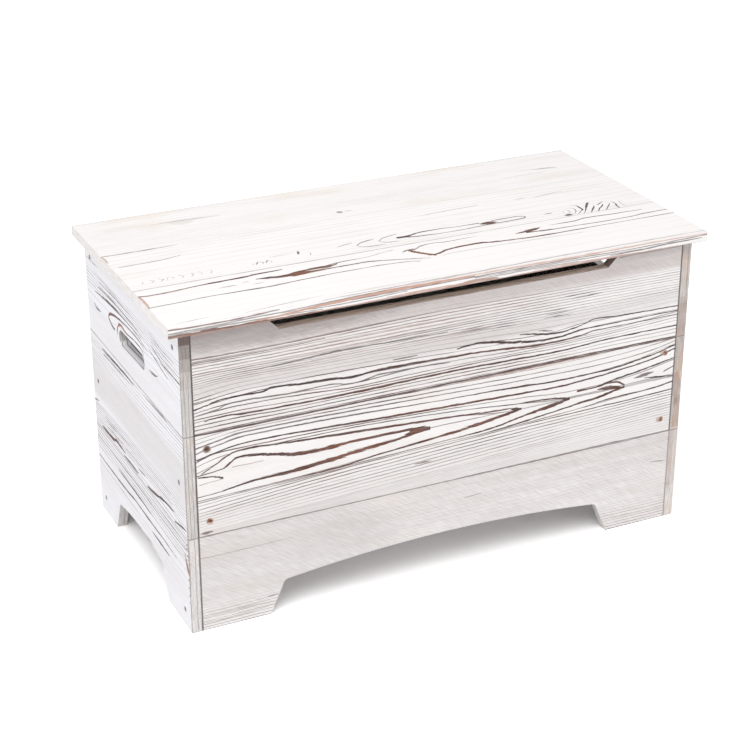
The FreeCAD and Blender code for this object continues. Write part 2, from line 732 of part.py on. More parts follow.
def stay_bracket(name, side):
    """The angle under the lid that carries the rivet."""
    reach, thickness, width = "bracket_reach", "stay_bracket_thickness", "stay_bracket_width"
    low_y = f"rivet_y - {width} / 2"
    leg = slab(f"{name}_bracket_leg", side, reach, thickness, width, "stay_drop", low_y, "rivet_z")
    nose = disc(f"{name}_bracket_nose", side, RIVET, reach, thickness, f"{width} / 2")
    trim = slab(f"{name}_bracket_trim", side, reach, thickness, width, "stay_arm_width", low_y,
                "rivet_z - stay_arm_width / 2")
    low_nose = doc.addObject("Part::MultiCommon", f"{name}_bracket_low_nose")
    low_nose.Shapes = [nose, trim]
    flange = slab(f"{name}_bracket_flange", side, reach, "stay_bracket_leg", width, thickness, low_y,
                  f"body_height - {thickness}")
    hole = disc(f"{name}_bracket_hole", side, RIVET, reach, thickness, "stay_rivet_radius")
    solid = fuse(f"{name}_bracket_solid", leg, low_nose, flange)
    node(f"{name}_stay_bracket", solid, hole, bracket_holes)


def stay_rivet(name, side):
    """The headed rivet on which the arm turns."""
    reach = "arm_reach + stay_gap + stay_collar"
    grip = "2 * stay_gap + stay_arm_thickness + stay_bracket_thickness"
    head = "2 * stay_rivet_radius"
    solids = [
        disc(f"{name}_rivet_outer", side, RIVET, reach, "stay_collar", head),
        disc(f"{name}_rivet_shank", side, RIVET, reach, f"{grip} + 2 * stay_collar", "stay_rivet_radius"),
        disc(f"{name}_rivet_inner", side, RIVET, f"{reach} - stay_collar - ({grip})", "stay_collar", head),
    ]
    node(f"{name}_stay_rivet", fuse(f"{name}_rivet_solid", *solids))


def strap(name, start, length, radius):
    """A round-ended bar in the arm's plane, hanging from start below the rivet."""
    bar = add("Part::Box", f"{name}_bar", Length="stay_arm_thickness", Width=f"2 * ({radius})",
              Height=length, at=("0", f"-({radius})", f"-({start}) - ({length})"))
    ends = [add("Part::Cylinder", f"{name}_end_{i}", turn=((0, 1, 0), 90), Radius=radius,
                Height="stay_arm_thickness", at=("0", "0", z))
            for i, z in enumerate((f"-({start})", f"-({start}) - ({length})"))]
    return fuse(f"{name}_strap", bar, *ends)


def stay_arm(name, side):
    """The slotted arm: rivet hole at the top, then a slot as long as the stud's travel."""
    tag = f"{name}_arm"
    blank = strap(f"{tag}_blank", "0", "arm_length", "stay_arm_width / 2")
    slot = strap(f"{tag}_slot", "slot_start", "slot_length", "slot_radius")
    hole = add("Part::Cylinder", f"{tag}_hole", turn=((0, 1, 0), 90), Height="stay_arm_thickness",
               Radius="stay_rivet_radius + stay_rivet_fit", at=("0", "0", "0"))
    arm = doc.addObject("Part::Cut", f"{tag}_cut")
    arm.Base = blank
    arm.Tool = gather(f"{tag}_cutters", [slot, hole])
    arm.Placement = FreeCAD.Placement(Vector(), Rotation(Vector(1, 0, 0), SIZES["stay_stud_angle"]))
    arm.setExpression("Placement.Rotation.Angle", expand("arm_angle"))
    put(arm, corner_x(side, "arm_reach", "stay_arm_thickness"), "rivet_y", "rivet_z")
    node(f"{name}_stay_arm", arm)


hinge_rows = [f"{on_side(s, 'hinge_x')} + {step} * hinge_screw_step" for s in both for step in (-1, 0, 1)]
hinge_box_holes = screws("hinge_box_screws", hinge_forms, [
    ("up", x, "leaf_screw_y", "body_height - hinge_leaf_sink") for x in hinge_rows])
hinge_lid_holes = screws("hinge_lid_screws", hinge_forms, [
    ("down", x, "leaf_screw_y", "body_height + hinge_leaf_sink") for x in hinge_rows])
plate_holes = screws("stay_plate_screws", plate_forms, [
    (facing, on_side(s, "inner_x - stay_plate_thickness"), f"stud_y + {sign} * stay_screw_step", "stud_z")
    for facing, s in (("right", -1), ("left", 1)) for sign in (-1, 1)])
bracket_holes = screws("stay_bracket_screws", bracket_forms, [
    ("down", on_side(s, "bracket_screw_x"), f"rivet_y + {sign} * stay_bracket_width / 4",
     "body_height - stay_bracket_thickness") for s in both for sign in (-1, 1)])

end_panel("front", "front_y", finger_gap_board, [front_holes], [post_holes])
end_panel("back", "inner_back", rectangle("inner_width", "top_board_height"), [back_holes],
          [post_holes, hinge_box_holes, *hinge_mortises("box")])
for side_name, side_sign in SIDES.items():
    side_panel(side_name, side_sign)
posts()
floor_frame()
floor_boards()
lid_boards()
lid_battens()
for side_name, side_sign in SIDES.items():
    hinge_leaf(side_name, side_sign, "box", range(0, SIZES["knuckle_count"], 2), hinge_box_holes)
    hinge_leaf(side_name, side_sign, "lid", range(1, SIZES["knuckle_count"], 2), hinge_lid_holes)
    hinge_pin(side_name, side_sign)
    stay_plate(side_name, side_sign)
    stay_stud(side_name, side_sign)
    stay_bracket(side_name, side_sign)
    stay_rivet(side_name, side_sign)
    stay_arm(side_name, side_sign)
doc.recompute()

# Nothing is written unless every object recomputed, every piece is sound and every cut removed wood

for item in doc.Objects:
    if {"Invalid", "Error"} & set(item.State):
        raise RuntimeError(f"{item.Name} failed: {item.State}")
for piece in nodes:
    if piece.Shape.isNull() or not piece.Shape.isValid() or not piece.Shape.Solids:
        raise RuntimeError(f"{piece.Label} has no sound solid")
    if piece.TypeId == "Part::Cut" and piece.Shape.Volume > piece.Base.Shape.Volume - 1:
        raise RuntimeError(f"{piece.Label}: a cut removed nothing")

os.makedirs("parts", exist_ok=True)
for piece in nodes:
    piece.Shape.exportStep(f"parts/{piece.Label}.step")
    box = piece.Shape.BoundBox
    extent = f"{box.XLength:.1f} x {box.YLength:.1f} x {box.ZLength:.1f}"
    print(f"{piece.Label}: {len(piece.Shape.Solids)} solids, {extent}")
print(f"{len(nodes)} pieces, rivet at y {value('rivet_y'):.4f} z {value('rivet_z'):.4f},",
      f"hinge axis at y {value('axis_y'):.4f} z {value('body_height'):.4f}")
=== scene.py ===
"""The looks of a toy box in whitewashed, burnt-grain softwood, built around its frame."""
import functools
import math

import bpy
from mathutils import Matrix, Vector

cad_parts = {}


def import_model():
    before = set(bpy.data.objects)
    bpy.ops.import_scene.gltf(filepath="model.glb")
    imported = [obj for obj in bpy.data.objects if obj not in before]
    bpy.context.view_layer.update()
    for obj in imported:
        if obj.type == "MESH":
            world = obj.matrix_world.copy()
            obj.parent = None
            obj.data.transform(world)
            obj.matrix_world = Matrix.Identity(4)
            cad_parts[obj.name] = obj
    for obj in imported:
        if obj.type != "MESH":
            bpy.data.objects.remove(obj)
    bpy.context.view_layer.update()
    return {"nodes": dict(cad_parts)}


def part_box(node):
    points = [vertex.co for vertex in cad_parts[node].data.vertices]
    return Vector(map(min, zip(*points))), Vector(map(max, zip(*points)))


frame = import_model()

MM = 0.001

# Places on the object, in millimetres.
BODY_LEFT = -383
BODY_RIGHT = 383
BODY_FRONT = -193.15
LID_LEFT = -400
LID_FRONT = -205.15
BODY_WIDTH = 766
BODY_DEPTH = 392
LID_WIDTH = 800
LOW_SEAM = 144
HIGH_SEAM = 294
BODY_TOP = 440

# The camera of the photograph.
CAMERA_PLACE = Vector((-1.0632, -2.20055, 1.3680))
CAMERA_AZIMUTH = math.radians(-25.38)
CAMERA_ELEVATION = math.radians(25.05)
LENS = 88.70
SENSOR = 36


def srgb(red, green, blue):
    """A colour written as screen values from 0 to 255, as linear light."""
    def linear(value):
        value = value / 255
        if value <= 0.04045:
            return value / 12.92
        return ((value + 0.055) / 1.055) ** 2.4
    return linear(red), linear(green), linear(blue), 1


WHITEWASH = srgb(247, 244, 243)
COOL_WASH = srgb(242, 241, 245)
THIN_WASH = srgb(198, 190, 188)
BEIGE = srgb(236, 220, 203)
CHARCOAL = srgb(42, 35, 35)
BROWN = srgb(98, 57, 43)
TAN = srgb(196, 172, 152)
RUST = srgb(186, 116, 76)
GREY_END = srgb(176, 170, 164)
SCREW_STAIN = srgb(92, 66, 54)
# The painted shade in the screws' cross recesses.
SCREW_RECESS_SHADE = srgb(40, 30, 28)


class Field:
    """A number that varies over a surface: a node's output that sums can be written with."""

    def __init__(self, graph, socket):
        self.graph = graph
        self.socket = socket

    def math(self, operation, *others, clamp=False):
        return self.graph.math(operation, self, *others, clamp=clamp)

    def __add__(self, other):
        return self.math("ADD", other)

    __radd__ = __add__

    def __sub__(self, other):
        return self.math("SUBTRACT", other)

    def __rsub__(self, other):
        return self.graph.math("SUBTRACT", other, self)

    def __mul__(self, other):
        return self.math("MULTIPLY", other)

    __rmul__ = __mul__

    def __truediv__(self, other):
        return self.math("DIVIDE", other)

    def __abs__(self):
        return self.math("ABSOLUTE")

    def most(self, other):
        return self.math("MAXIMUM", other)

    def least(self, other):
        return self.math("MINIMUM", other)

    def clamp(self):
        return self.math("ADD", 0, clamp=True)

    def step(self, low, high):
        """Zero below low, one above high and smooth between them."""
        return self.graph.ranged(self, low, high, "SMOOTHSTEP")


class Graph:
    """A node tree, with short calls for the nodes that these materials need."""

    def __init__(self, tree):
        self.tree = tree
        self.tree.nodes.clear()

    def node(self, kind, **settings):
        node = self.tree.nodes.new(kind)
        for name, setting in settings.items():
            setattr(node, name, setting)
        return node

    def feed(self, socket, value):
        if isinstance(value, Field):
            self.tree.links.new(value.socket, socket)
        else:
            socket.default_value = value

    def math(self, operation, *values, clamp=False):
        node = self.node("ShaderNodeMath", operation=operation, use_clamp=clamp)
        for place, value in enumerate(values):
            self.feed(node.inputs[place], value)
        return Field(self, node.outputs[0])

    def ranged(self, value, low, high, interpolation="LINEAR"):
        """Zero up to low, one from high on and between them in between."""
        node = self.node("ShaderNodeMapRange", interpolation_type=interpolation)
        for name, number in (("Value", value), ("From Min", low), ("From Max", high)):
            self.feed(node.inputs[name], number)
        return Field(self, node.outputs["Result"])

    def use(self, group, *values):
        """A shared group of nodes, with its inputs in order."""
        node = self.node("ShaderNodeGroup", node_tree=group)
        for socket, value in zip(node.inputs, values):
            self.feed(socket, value)
        return [Field(self, socket) for socket in node.outputs]

    def noise(self, x, y, z=0, detail=2):
        """Smooth noise about 0.5; a factor beside a place is its waves to a millimetre."""
        return self.use(noise_group(detail), x, y, z)[0]

    def curves(self, value, *rows):
        """Up to three curves of one value; each row is a list of points from 0 to 1."""
        node = self.node("ShaderNodeRGBCurve")
        for curve, row in zip(node.mapping.curves, rows):
            curve.points[0].location = row[0]
            curve.points[1].location = row[-1]
            for point in row[1:-1]:
                curve.points.new(*point)
            for point in curve.points:
                point.handle_type = "AUTO_CLAMPED"
        node.mapping.update()
        grey = self.node("ShaderNodeCombineColor")
        for socket in grey.inputs:
            self.feed(socket, value)
        self.tree.links.new(grey.outputs[0], node.inputs["Color"])
        parts = self.node("ShaderNodeSeparateColor")
        self.tree.links.new(node.outputs["Color"], parts.inputs[0])
        return [Field(self, parts.outputs[place]) for place in range(len(rows))]

    def mix(self, first, second, factor):
        """A colour between two colours."""
        node = self.node("ShaderNodeMix", data_type="RGBA")
        self.feed(node.inputs["Factor"], factor)
        colours = [socket for socket in node.inputs if socket.type == "RGBA"]
        self.feed(colours[0], first)
        self.feed(colours[1], second)
        outputs = [socket for socket in node.outputs if socket.type == "RGBA"]
        return Field(self, outputs[0])

    def coordinates(self, output, axes="XYZ"):
        """The parts of a texture coordinate in the order of the axes."""
        node = self.node("ShaderNodeTexCoord")
        split = self.node("ShaderNodeSeparateXYZ")
        self.tree.links.new(node.outputs[output], split.inputs[0])
        return [Field(self, split.outputs["XYZ".index(axis)]) for axis in axes]


def start_group(name, inputs):
    """A node group with number inputs; gives its graph and the inputs as fields."""
    tree = bpy.data.node_groups.new(name, "ShaderNodeTree")
    for item in inputs:
        tree.interface.new_socket(item, in_out="INPUT", socket_type="NodeSocketFloat")
    graph = Graph(tree)
    entry = graph.node("NodeGroupInput")
    return graph, [Field(graph, socket) for socket in list(entry.outputs)[:len(inputs)]]


def end_group(graph, **outputs):
    for name in outputs:
        graph.tree.interface.new_socket(name, in_out="OUTPUT", socket_type="NodeSocketFloat")
    leave = graph.node("NodeGroupOutput")
    for socket, value in zip(leave.inputs, outputs.values()):
        graph.feed(socket, value)
    return graph.tree


@functools.cache
def noise_group(detail):
    graph, parts = start_group(f"noise_{detail}", ("x", "y", "z"))
    place = graph.node("ShaderNodeCombineXYZ")
    for socket, part in zip(place.inputs, parts):
        graph.feed(socket, part)
    node = graph.node("ShaderNodeTexNoise")
    node.inputs["Scale"].default_value = 1
    node.inputs["Detail"].default_value = detail
    node.inputs["Roughness"].default_value = 0.5
    graph.tree.links.new(place.outputs[0], node.inputs["Vector"])
    return end_group(graph, value=Field(graph, node.outputs["Fac"]))


def material_graph(name):
    material = bpy.data.materials.new(name)
    material.use_nodes = True
    return material, Graph(material.node_tree)


def wire_shader(graph, colour, roughness, height, relief, metallic=0, specular=0.35):
    """The surface shader; height is in millimetres."""
    shader = graph.node("ShaderNodeBsdfPrincipled")
    graph.feed(shader.inputs["Base Color"], colour)
    graph.feed(shader.inputs["Roughness"], roughness)
    shader.inputs["Metallic"].default_value = metallic
    shader.inputs["Specular IOR Level"].default_value = specular
    bump = graph.node("ShaderNodeBump")
    bump.inputs["Strength"].default_value = relief
    bump.inputs["Distance"].default_value = MM
    graph.feed(bump.inputs["Height"], height)
    graph.tree.links.new(bump.outputs[0], shader.inputs["Normal"])
    output = graph.node("ShaderNodeOutputMaterial")
    graph.tree.links.new(shader.outputs[0], output.inputs["Surface"])


def spread(numbers):
    """Numbers as points evenly spaced from 0 to 1; one number holds all the way."""
    if isinstance(numbers, (int, float)):
        numbers = (numbers, numbers)
    last = len(numbers) - 1
    return [(place / last, number) for place, number in enumerate(numbers)]


def over(dark, brown, new_dark, new_brown):
    """Lay a mark over what is there: the darker of the two, and the new mark's brown where it shows."""
    darker = dark.most(new_dark)
    return darker, brown + (new_brown - brown) * (new_dark / (darker + 0.001))


def start_mark(name):
    """The group of a mark that is laid over the marks before it."""
    return start_group(name, ("s", "t", "brush", "dark", "brown"))


class Stroke:
    """A dark line in the grain: places as s: t, then half widths and browns evenly spaced along it.

    A brown of 0 is charcoal, 1 brown and 2 rust. An upright stroke has its places as t: s.
    """

    WIDEST = 12
    RUSTIEST = 2
    # How far the dry brush spreads or thins the half width.
    MOST_BRUSH = 2.6
    LEAST_BRUSH = -0.1
    # The millimetres inside the edge over which the line darkens, and over which its core turns browner.
    EDGE = (-0.35, 0.45)
    CORE = (0.6, 1.8)
    CORE_BROWN = 0.3

    def __init__(self, places, width=1, brown=0.3, dark=1, upright=False):
        self.places = places
        self.width = width
        self.brown = brown
        self.dark = dark
        self.upright = upright

    def group(self):
        graph, (s, t, brush, dark, brown) = start_mark("stroke")
        along, across = (t, s) if self.upright else (s, t)
        first, last = min(self.places), max(self.places)
        low = min(self.places.values())
        reach = max(max(self.places.values()) - low, 1)
        place = graph.ranged(along, first, last)
        route = [((x - first) / (last - first), (y - low) / reach) for x, y in self.places.items()]
        width = [(x, y / self.WIDEST) for x, y in spread(self.width)]
        tones = [(x, y / self.RUSTIEST) for x, y in spread(self.brown)]
        centre, half, tone = graph.curves(place, route, width, tones)
        inside = graph.math("COMPARE", place, 0.5, 0.4999)
        ragged = (brush * self.MOST_BRUSH + self.LEAST_BRUSH) * half * self.WIDEST
        depth = ragged - abs(across - (centre * reach + low))
        line = depth.step(*self.EDGE) * inside * self.dark
        core = depth.step(*self.CORE) * self.CORE_BROWN
        dark, brown = over(dark, brown, line, tone * self.RUSTIEST + core)
        return end_group(graph, dark=dark, brown=brown)


def upright(*values):
    """A stroke that runs across the grain, with its places as t: s."""
    return Stroke(*values, upright=True)


class Spot:
    """An oval mark: its middle, its half length and its half height."""

    RIM = 1.2
    RAGGED = 0.9
    FADE = 0.5

    def __init__(self, middle, size, brown=0.4, dark=1):
        self.middle = middle
        self.size = size
        self.brown = brown
        self.dark = dark

    def group(self):
        graph, (s, t, brush, dark, brown) = start_mark("spot")
        beside = (s - self.middle[0]) / self.size[0]
        above = (t - self.middle[1]) / self.size[1]
        distance = (beside * beside + above * above).math("SQRT")
        mark = (self.RIM - distance + (brush - 0.5) * self.RAGGED).step(0, self.FADE) * self.dark
        dark, brown = over(dark, brown, mark, self.brown)
        return end_group(graph, dark=dark, brown=brown)


class Chevrons:
    """A row of small arrowheads that point along the grain, between two places and two heights."""

    SLANT = 0.8
    UNEVEN_SPACING = 9
    BRUSH_WIDTH = 3.4
    THINNEST = -0.5
    STRENGTH = 0.85
    TONE = 0.3

    def __init__(self, first, last, heights, spacing):
        self.middle = (first + last) / 2, sum(heights) / 2
        self.reach = (last - first) / 2, (heights[1] - heights[0]) / 2
        self.first = first
        self.spacing = spacing

    def group(self):
        graph, (s, t, brush, dark, brown) = start_mark("chevrons")
        above = abs(t - self.middle[1])
        shift = graph.noise(s * 0.05, t * 0.12, detail=1) * self.UNEVEN_SPACING
        phase = (s - self.first + above * self.SLANT + shift) / self.spacing
        away = abs(phase.math("FRACT") - 0.5) * self.spacing
        inside = graph.math("COMPARE", s, self.middle[0], self.reach[0])
        uneven = graph.noise(phase.math("FLOOR") * 4.1, t * 0.25, detail=1).step(0.4, 0.6) * 0.7 + 0.3
        line = (brush * self.BRUSH_WIDTH + self.THINNEST - away).step(0, 0.9)
        mark = line * (self.reach[1] - above).step(0, 1.5) * inside
        dark, brown = over(dark, brown, mark * uneven * self.STRENGTH, self.TONE)
        return end_group(graph, dark=dark, brown=brown)


@functools.cache
def ring_group():
    """Thin lines where the phase is whole; spacing is in millimetres to a phase."""
    graph, (s, phase, spacing, half, most, seed) = start_group(
        "rings", ("s", "phase", "spacing", "half", "most", "seed"))
    ring = (phase + 0.5).math("FLOOR")
    away = abs((phase + 0.5).math("FRACT") - 0.5) * spacing
    long = graph.noise(s * 0.006 + seed, ring * 3.7)
    short = graph.noise(s * 0.03 - seed, ring * 5.3)
    strength = long.step(0.3, 0.55) * 0.35 + short.step(0.3, 0.6) * 0.2 + 0.45
    width = (long + short * 0.6 + 0.2) * half
    line = (width - away).step(-0.3, 0.35) * strength * most * (spacing * 0.7).clamp()
    brown = graph.noise(s * 0.004 - seed, ring * 1.3, detail=1).step(0.3, 0.6) * 0.9
    return end_group(graph, dark=line, brown=brown)


def guide_group(length, guides):
    """The phase and spacing of rings that follow guide lines across a board.

    A guide is its places as s: t, and the rings between it and the next guide.
    """
    graph, (s, t) = start_group("guides", ("s", "t"))
    heights = [y for places, count in guides for y in places.values()]
    lowest = min(heights)
    reach = max(heights) - lowest
    narrowest = 0.3
    place = graph.ranged(s, 0, length)
    phase = spacing = low = rings = None
    for start in range(0, len(guides), 3):
        some = guides[start:start + 3]
        rows = [[(x / length, (y - lowest) / reach) for x, y in places.items()] for places, count in some]
        for curve, (places, count) in zip(graph.curves(place, *rows), some):
            high = curve * reach + lowest
            if low is not None:
                gap = (high - low).most(narrowest)
                part = (t - low) / gap
                step = part.clamp() * rings
                width = graph.math("COMPARE", part, 0.5, 0.5) * gap / rings
                phase = step if phase is None else phase + step
                spacing = width if spacing is None else spacing + width
            low = high
            rings = count
    return end_group(graph, phase=phase, spacing=spacing)


@functools.cache
def log_group():
    """The phase and spacing of a sawn log's rings: arcs on a board's end, long arches on its faces.

    edge is one on a board's long edges and end on its ends, where the rings cross at another angle.
    """
    graph, (s, t, depth, centre, far, tilt, space, edge, end, seed) = start_group(
        "log", ("s", "t", "depth", "centre", "far", "tilt", "space", "edge", "end", "seed"))
    bend = 40
    rippling = 3
    flattest = 0.15
    drift = graph.noise(s * 0.004 + seed, 0.5, detail=1) - 0.5
    beside = t - centre + drift * bend
    into = depth - far - s * tilt
    radius = (beside * beside + into * into).math("SQRT")
    ripple = graph.noise(radius * 0.05, s * 0.002 + seed, detail=1) * rippling
    rise = into * tilt
    crossing = beside * beside * (1 - edge) + into * into * (edge + end) + rise * rise
    slope = (crossing.math("SQRT") / radius).most(flattest)
    return end_group(graph, phase=radius / space + ripple, spacing=space / slope)


@functools.cache
def wobble_group():
    """The shared unevenness of a board: the wavering of t along s, a dry brush and fine fibres."""
    graph, (s, t, depth, seed) = start_group("wobble", ("s", "t", "depth", "seed"))
    slow = graph.noise(s * 0.022 + seed, t * 0.03, detail=1)
    quick = graph.noise(s * 0.11 + seed, t * 0.12, detail=1)
    along = s + (slow - 0.5) * 2
    moved = t + (slow - 0.5) * 1.4 + (quick - 0.5) * 0.8
    brush = graph.noise(s * 0.045 + seed, t * 0.9, depth * 0.9, detail=3)
    fibre = graph.noise(s * 0.02 - seed, t * 2.1, depth * 2.1, detail=3)
    return end_group(graph, along=along, moved=moved, brush=brush, fibre=fibre)


@functools.cache
def arris_group():
    """The distance to the nearest edge of a board, seen from any of its faces."""
    names = ("s", "t", "depth", "s_low", "s_high", "t_low", "t_high", "depth_low", "depth_high")
    graph, (s, t, depth, *limits) = start_group("arris", names)
    first, second, third = [(place - low).least(high - place)
                            for place, low, high in zip((s, t, depth), limits[::2], limits[1::2])]
    away = first.least(second).most(first.most(second).least(third))
    return end_group(graph, away=away, ends=first)


class Wood:
    """The grain of one board, with s along it and t across it in millimetres."""

    # The parts of the normal between which a surface turns to face a way.
    TURN = (0.6, 0.8)

    def __init__(self, name, axes, origin, seed):
        self.material, self.graph = material_graph(name)
        self.seed = seed
        low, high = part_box(name)
        limits = []
        for axis, start in zip(axes, origin):
            place = "XYZ".index(axis)
            limits += [low[place] / MM - start, high[place] / MM - start]
        self.middle = (limits[2] + limits[3]) / 2
        place = self.graph.coordinates("Object", axes)
        self.s, self.t, self.depth = [part / MM - start for part, start in zip(place, origin)]
        self.normal = self.graph.coordinates("Normal", axes)
        self.along, self.moved, self.brush, self.fibre = self.graph.use(
            wobble_group(), self.s, self.t, self.depth, seed)
        self.arris, self.ends = self.graph.use(arris_group(), self.s, self.t, self.depth, *limits)

    def marks(self, marks, along=None, across=None):
        """Lay marks on top of each other, along s and across t unless other places are given.

        A plain row among the marks is a stroke.
        """
        dark, brown = 0, 0
        along = along or self.along
        across = across or self.moved
        for mark in marks:
            if isinstance(mark, tuple):
                mark = Stroke(*mark)
            dark, brown = self.graph.use(mark.group(), along, across, self.brush, dark, brown)
        return dark, brown

    def by_height(self, values):
        """A value from 0 to 1 that follows t through the values, which are given as t: value."""
        low, high = min(values), max(values)
        place = self.graph.ranged(self.moved, low, high)
        row = [((t - low) / (high - low), value) for t, value in values.items()]
        return self.graph.curves(place, row)[0]

    def guided_rings(self, length, guides, half, most):
        phase, spacing = self.graph.use(guide_group(length, guides), self.along, self.moved)
        return self.graph.use(ring_group(), self.along, phase, spacing, half, most, self.seed)

    def log_rings(self, aside, far, tilt, spacing, half, most):
        """Rings of a log whose heart lies aside of the board's middle and far behind it."""
        phase, spacing = self.graph.use(
            log_group(), self.s, self.moved, self.depth, self.middle + aside, far, tilt, spacing,
            self.facing_either(1), self.facing_either(0), self.seed)
        return self.graph.use(ring_group(), self.s, phase, spacing, half, most, self.seed)

    def facing(self, axis, sign):
        """One where the surface faces that way: axis 0 is along, 1 across and 2 through."""
        return (self.normal[axis] * sign).step(*self.TURN)

    def facing_either(self, axis):
        """One where the surface faces either way along the axis."""
        return abs(self.normal[axis]).step(*self.TURN)


# The relief of the wood and the width of the joints at the ends, in millimetres.
FIBRE_HEIGHT = 0.1
RING_DEPTH = 0.28
JOINT_WIDTH = 2.1


def finish_wood(wood, dark, brown, groove, options, shade=None):
    """Colour, roughness and relief of a board from its marks.

    groove is the depth of the rings; shade is where the wash is thicker. The options are
    cover, how white the wash is; warm, how much beige shows through; burn and seam, how dark
    the edges and the joints at the ends are; saw, how plain the saw marks are; tan, the
    colour of the end grain, and end_white, the wash on it; wash, the colour of the wash; ends,
    the marks on the near end; cut, the height below which a cut has a tan floor and burnt slopes;
    and fading, how much paler the joint at the far end is.
    """
    graph = wood.graph
    cloud = graph.noise(wood.s * 0.006 + wood.seed, wood.t * 0.05, wood.depth * 0.05, detail=3)
    patch = graph.noise(wood.s * 0.008 - wood.seed, wood.t * 0.03, wood.depth * 0.03)
    slanted = wood.s * 0.32 + wood.t * 0.45
    saw = graph.noise(slanted, wood.s * 0.033 - wood.t * 0.023, wood.depth * 0.3, detail=1)
    white = (cloud - 0.5) * 0.5 + (wood.fibre - 0.5) * 0.55 + (saw - 0.5) * options.get("saw", 0.2)
    white = white + options["cover"]
    if shade is not None:
        white = white + shade
    base = graph.mix(THIN_WASH, options.get("wash", WHITEWASH), white.clamp())
    base = graph.mix(base, BEIGE, patch.step(0.5, 0.75) * options["warm"])
    end = wood.facing_either(0)
    streak = graph.noise(wood.t * 0.05, wood.depth * 0.8 + wood.seed, detail=3)
    stain = graph.noise(wood.t * 0.022 + wood.seed, wood.depth * 0.04, detail=1).step(0.42, 0.62)
    end_colour = graph.mix(GREY_END, TAN, (stain * 1.2 + options["tan"] - 0.8).clamp())
    end_white = (streak.step(0.3, 0.7) * 0.5 + options.get("end_white", 0.1)).clamp()
    end_colour = graph.mix(end_colour, WHITEWASH, end_white)
    base = graph.mix(base, end_colour, end * 0.9)
    dark = dark * (1 - end * 0.85)
    if "ends" in options:
        end_dark, end_brown = wood.marks(options["ends"], wood.t, wood.depth)
        dark, brown = over(dark, brown, end_dark * wood.facing(0, -1), end_brown)
    if "cut" in options:
        below = (options["cut"] - wood.t).step(0, 0.6)
        base = graph.mix(base, TAN, below * wood.normal[1].step(0.95, 0.99) * 0.8)
        slope = wood.normal[1].step(0.3, 0.6) * (1 - wood.normal[1].step(0.85, 0.95))
        dark, brown = over(dark, brown, below * slope * 0.85, 0.9)
    burn_width = wood.brush * 2 + 0.4
    near = (burn_width - wood.arris).step(0, 1.1) * options["burn"]
    dark, brown = over(dark, brown, near, 0.4)
    if "seam" in options:
        fading = wood.s.step(300, 400) * options.get("fading", 0)
        joint = (JOINT_WIDTH - wood.ends).step(0, 0.7) * (options["seam"] - fading)
        dark, brown = over(dark, brown, joint, 0.15)
    scratch = wood.brush.step(0.2, 0.75)
    mark = graph.mix(CHARCOAL, BROWN, (brown + (wood.fibre - 0.5) * 1.2).clamp())
    mark = graph.mix(mark, RUST, (brown - 1).clamp())
    amount = dark * (scratch * 0.2 + 0.85)
    colour = graph.mix(base, mark, amount.clamp())
    roughness = 0.52 + wood.fibre * 0.2 + dark * 0.12
    height = wood.fibre * FIBRE_HEIGHT - groove * RING_DEPTH
    wire_shader(graph, colour, roughness, height, relief=0.8)
    return wood.material


def plain_board(wood, most, options):
    """Rings of a board that no photograph shows, with its own place in the log."""
    seed = wood.seed
    dark, brown = wood.log_rings(aside=(seed * 37) % 60 - 30, far=-30 - (seed * 13) % 30,
                                 tilt=0.014 + 0.007 * (seed % 3), spacing=3.8, half=0.6, most=most)
    return finish_wood(wood, dark, brown, dark, options)


# The tables below are in millimetres: guides and strokes by their places as s: t.

# The front middle board: nested loops that point right, with fine lines above and below.
MIDDLE_LINES = [
    ({0: 138, 766: 146}, 9),
    ({0: 150, 200: 158, 400: 166, 600: 176, 766: 184}, 7),
    ({0: 178, 150: 190, 300: 198, 500: 206, 600: 208, 766: 212}, 1),
    ({0: 184, 150: 195, 300: 203, 500: 208, 600: 213, 700: 219, 766: 224}, 1),
    ({0: 190, 150: 198, 350: 204, 450: 207, 550: 216, 640: 227, 667: 231, 766: 232}, 1),
    ({0: 195, 200: 202, 400: 209, 450: 212, 520: 223, 575: 232, 667: 232, 766: 232}, 1),
    ({0: 198, 150: 202, 270: 209, 350: 214, 440: 224, 498: 232, 667: 232, 766: 232}, 1),
    ({0: 203, 52: 206, 100: 212, 150: 213, 250: 222, 330: 230, 355: 233, 766: 233}, 1),
    ({0: 234, 54: 239, 80: 251, 150: 240, 210: 237, 340: 236, 355: 233, 766: 233}, 1),
    ({0: 234, 45: 248, 85: 261, 130: 258, 250: 252, 385: 243, 498: 232, 766: 234}, 1),
    ({0: 244, 60: 258, 200: 259, 385: 251, 490: 241, 575: 234, 667: 235, 766: 236}, 1),
    ({0: 250, 60: 264, 200: 263, 385: 256, 500: 249, 588: 243, 667: 246, 766: 262}, 1),
    ({0: 256, 100: 270, 300: 263, 450: 257, 550: 254.5, 650: 260, 700: 265, 766: 281}, 1),
    ({0: 264, 50: 275, 100: 280, 385: 271, 450: 269, 550: 264, 650: 267, 766: 287}, 1),
    ({0: 272, 50: 281, 100: 286, 300: 282, 500: 276, 600: 275, 700: 280, 766: 292}, 2),
    ({0: 286, 100: 295, 400: 292, 550: 290, 766: 300}, 1),
]
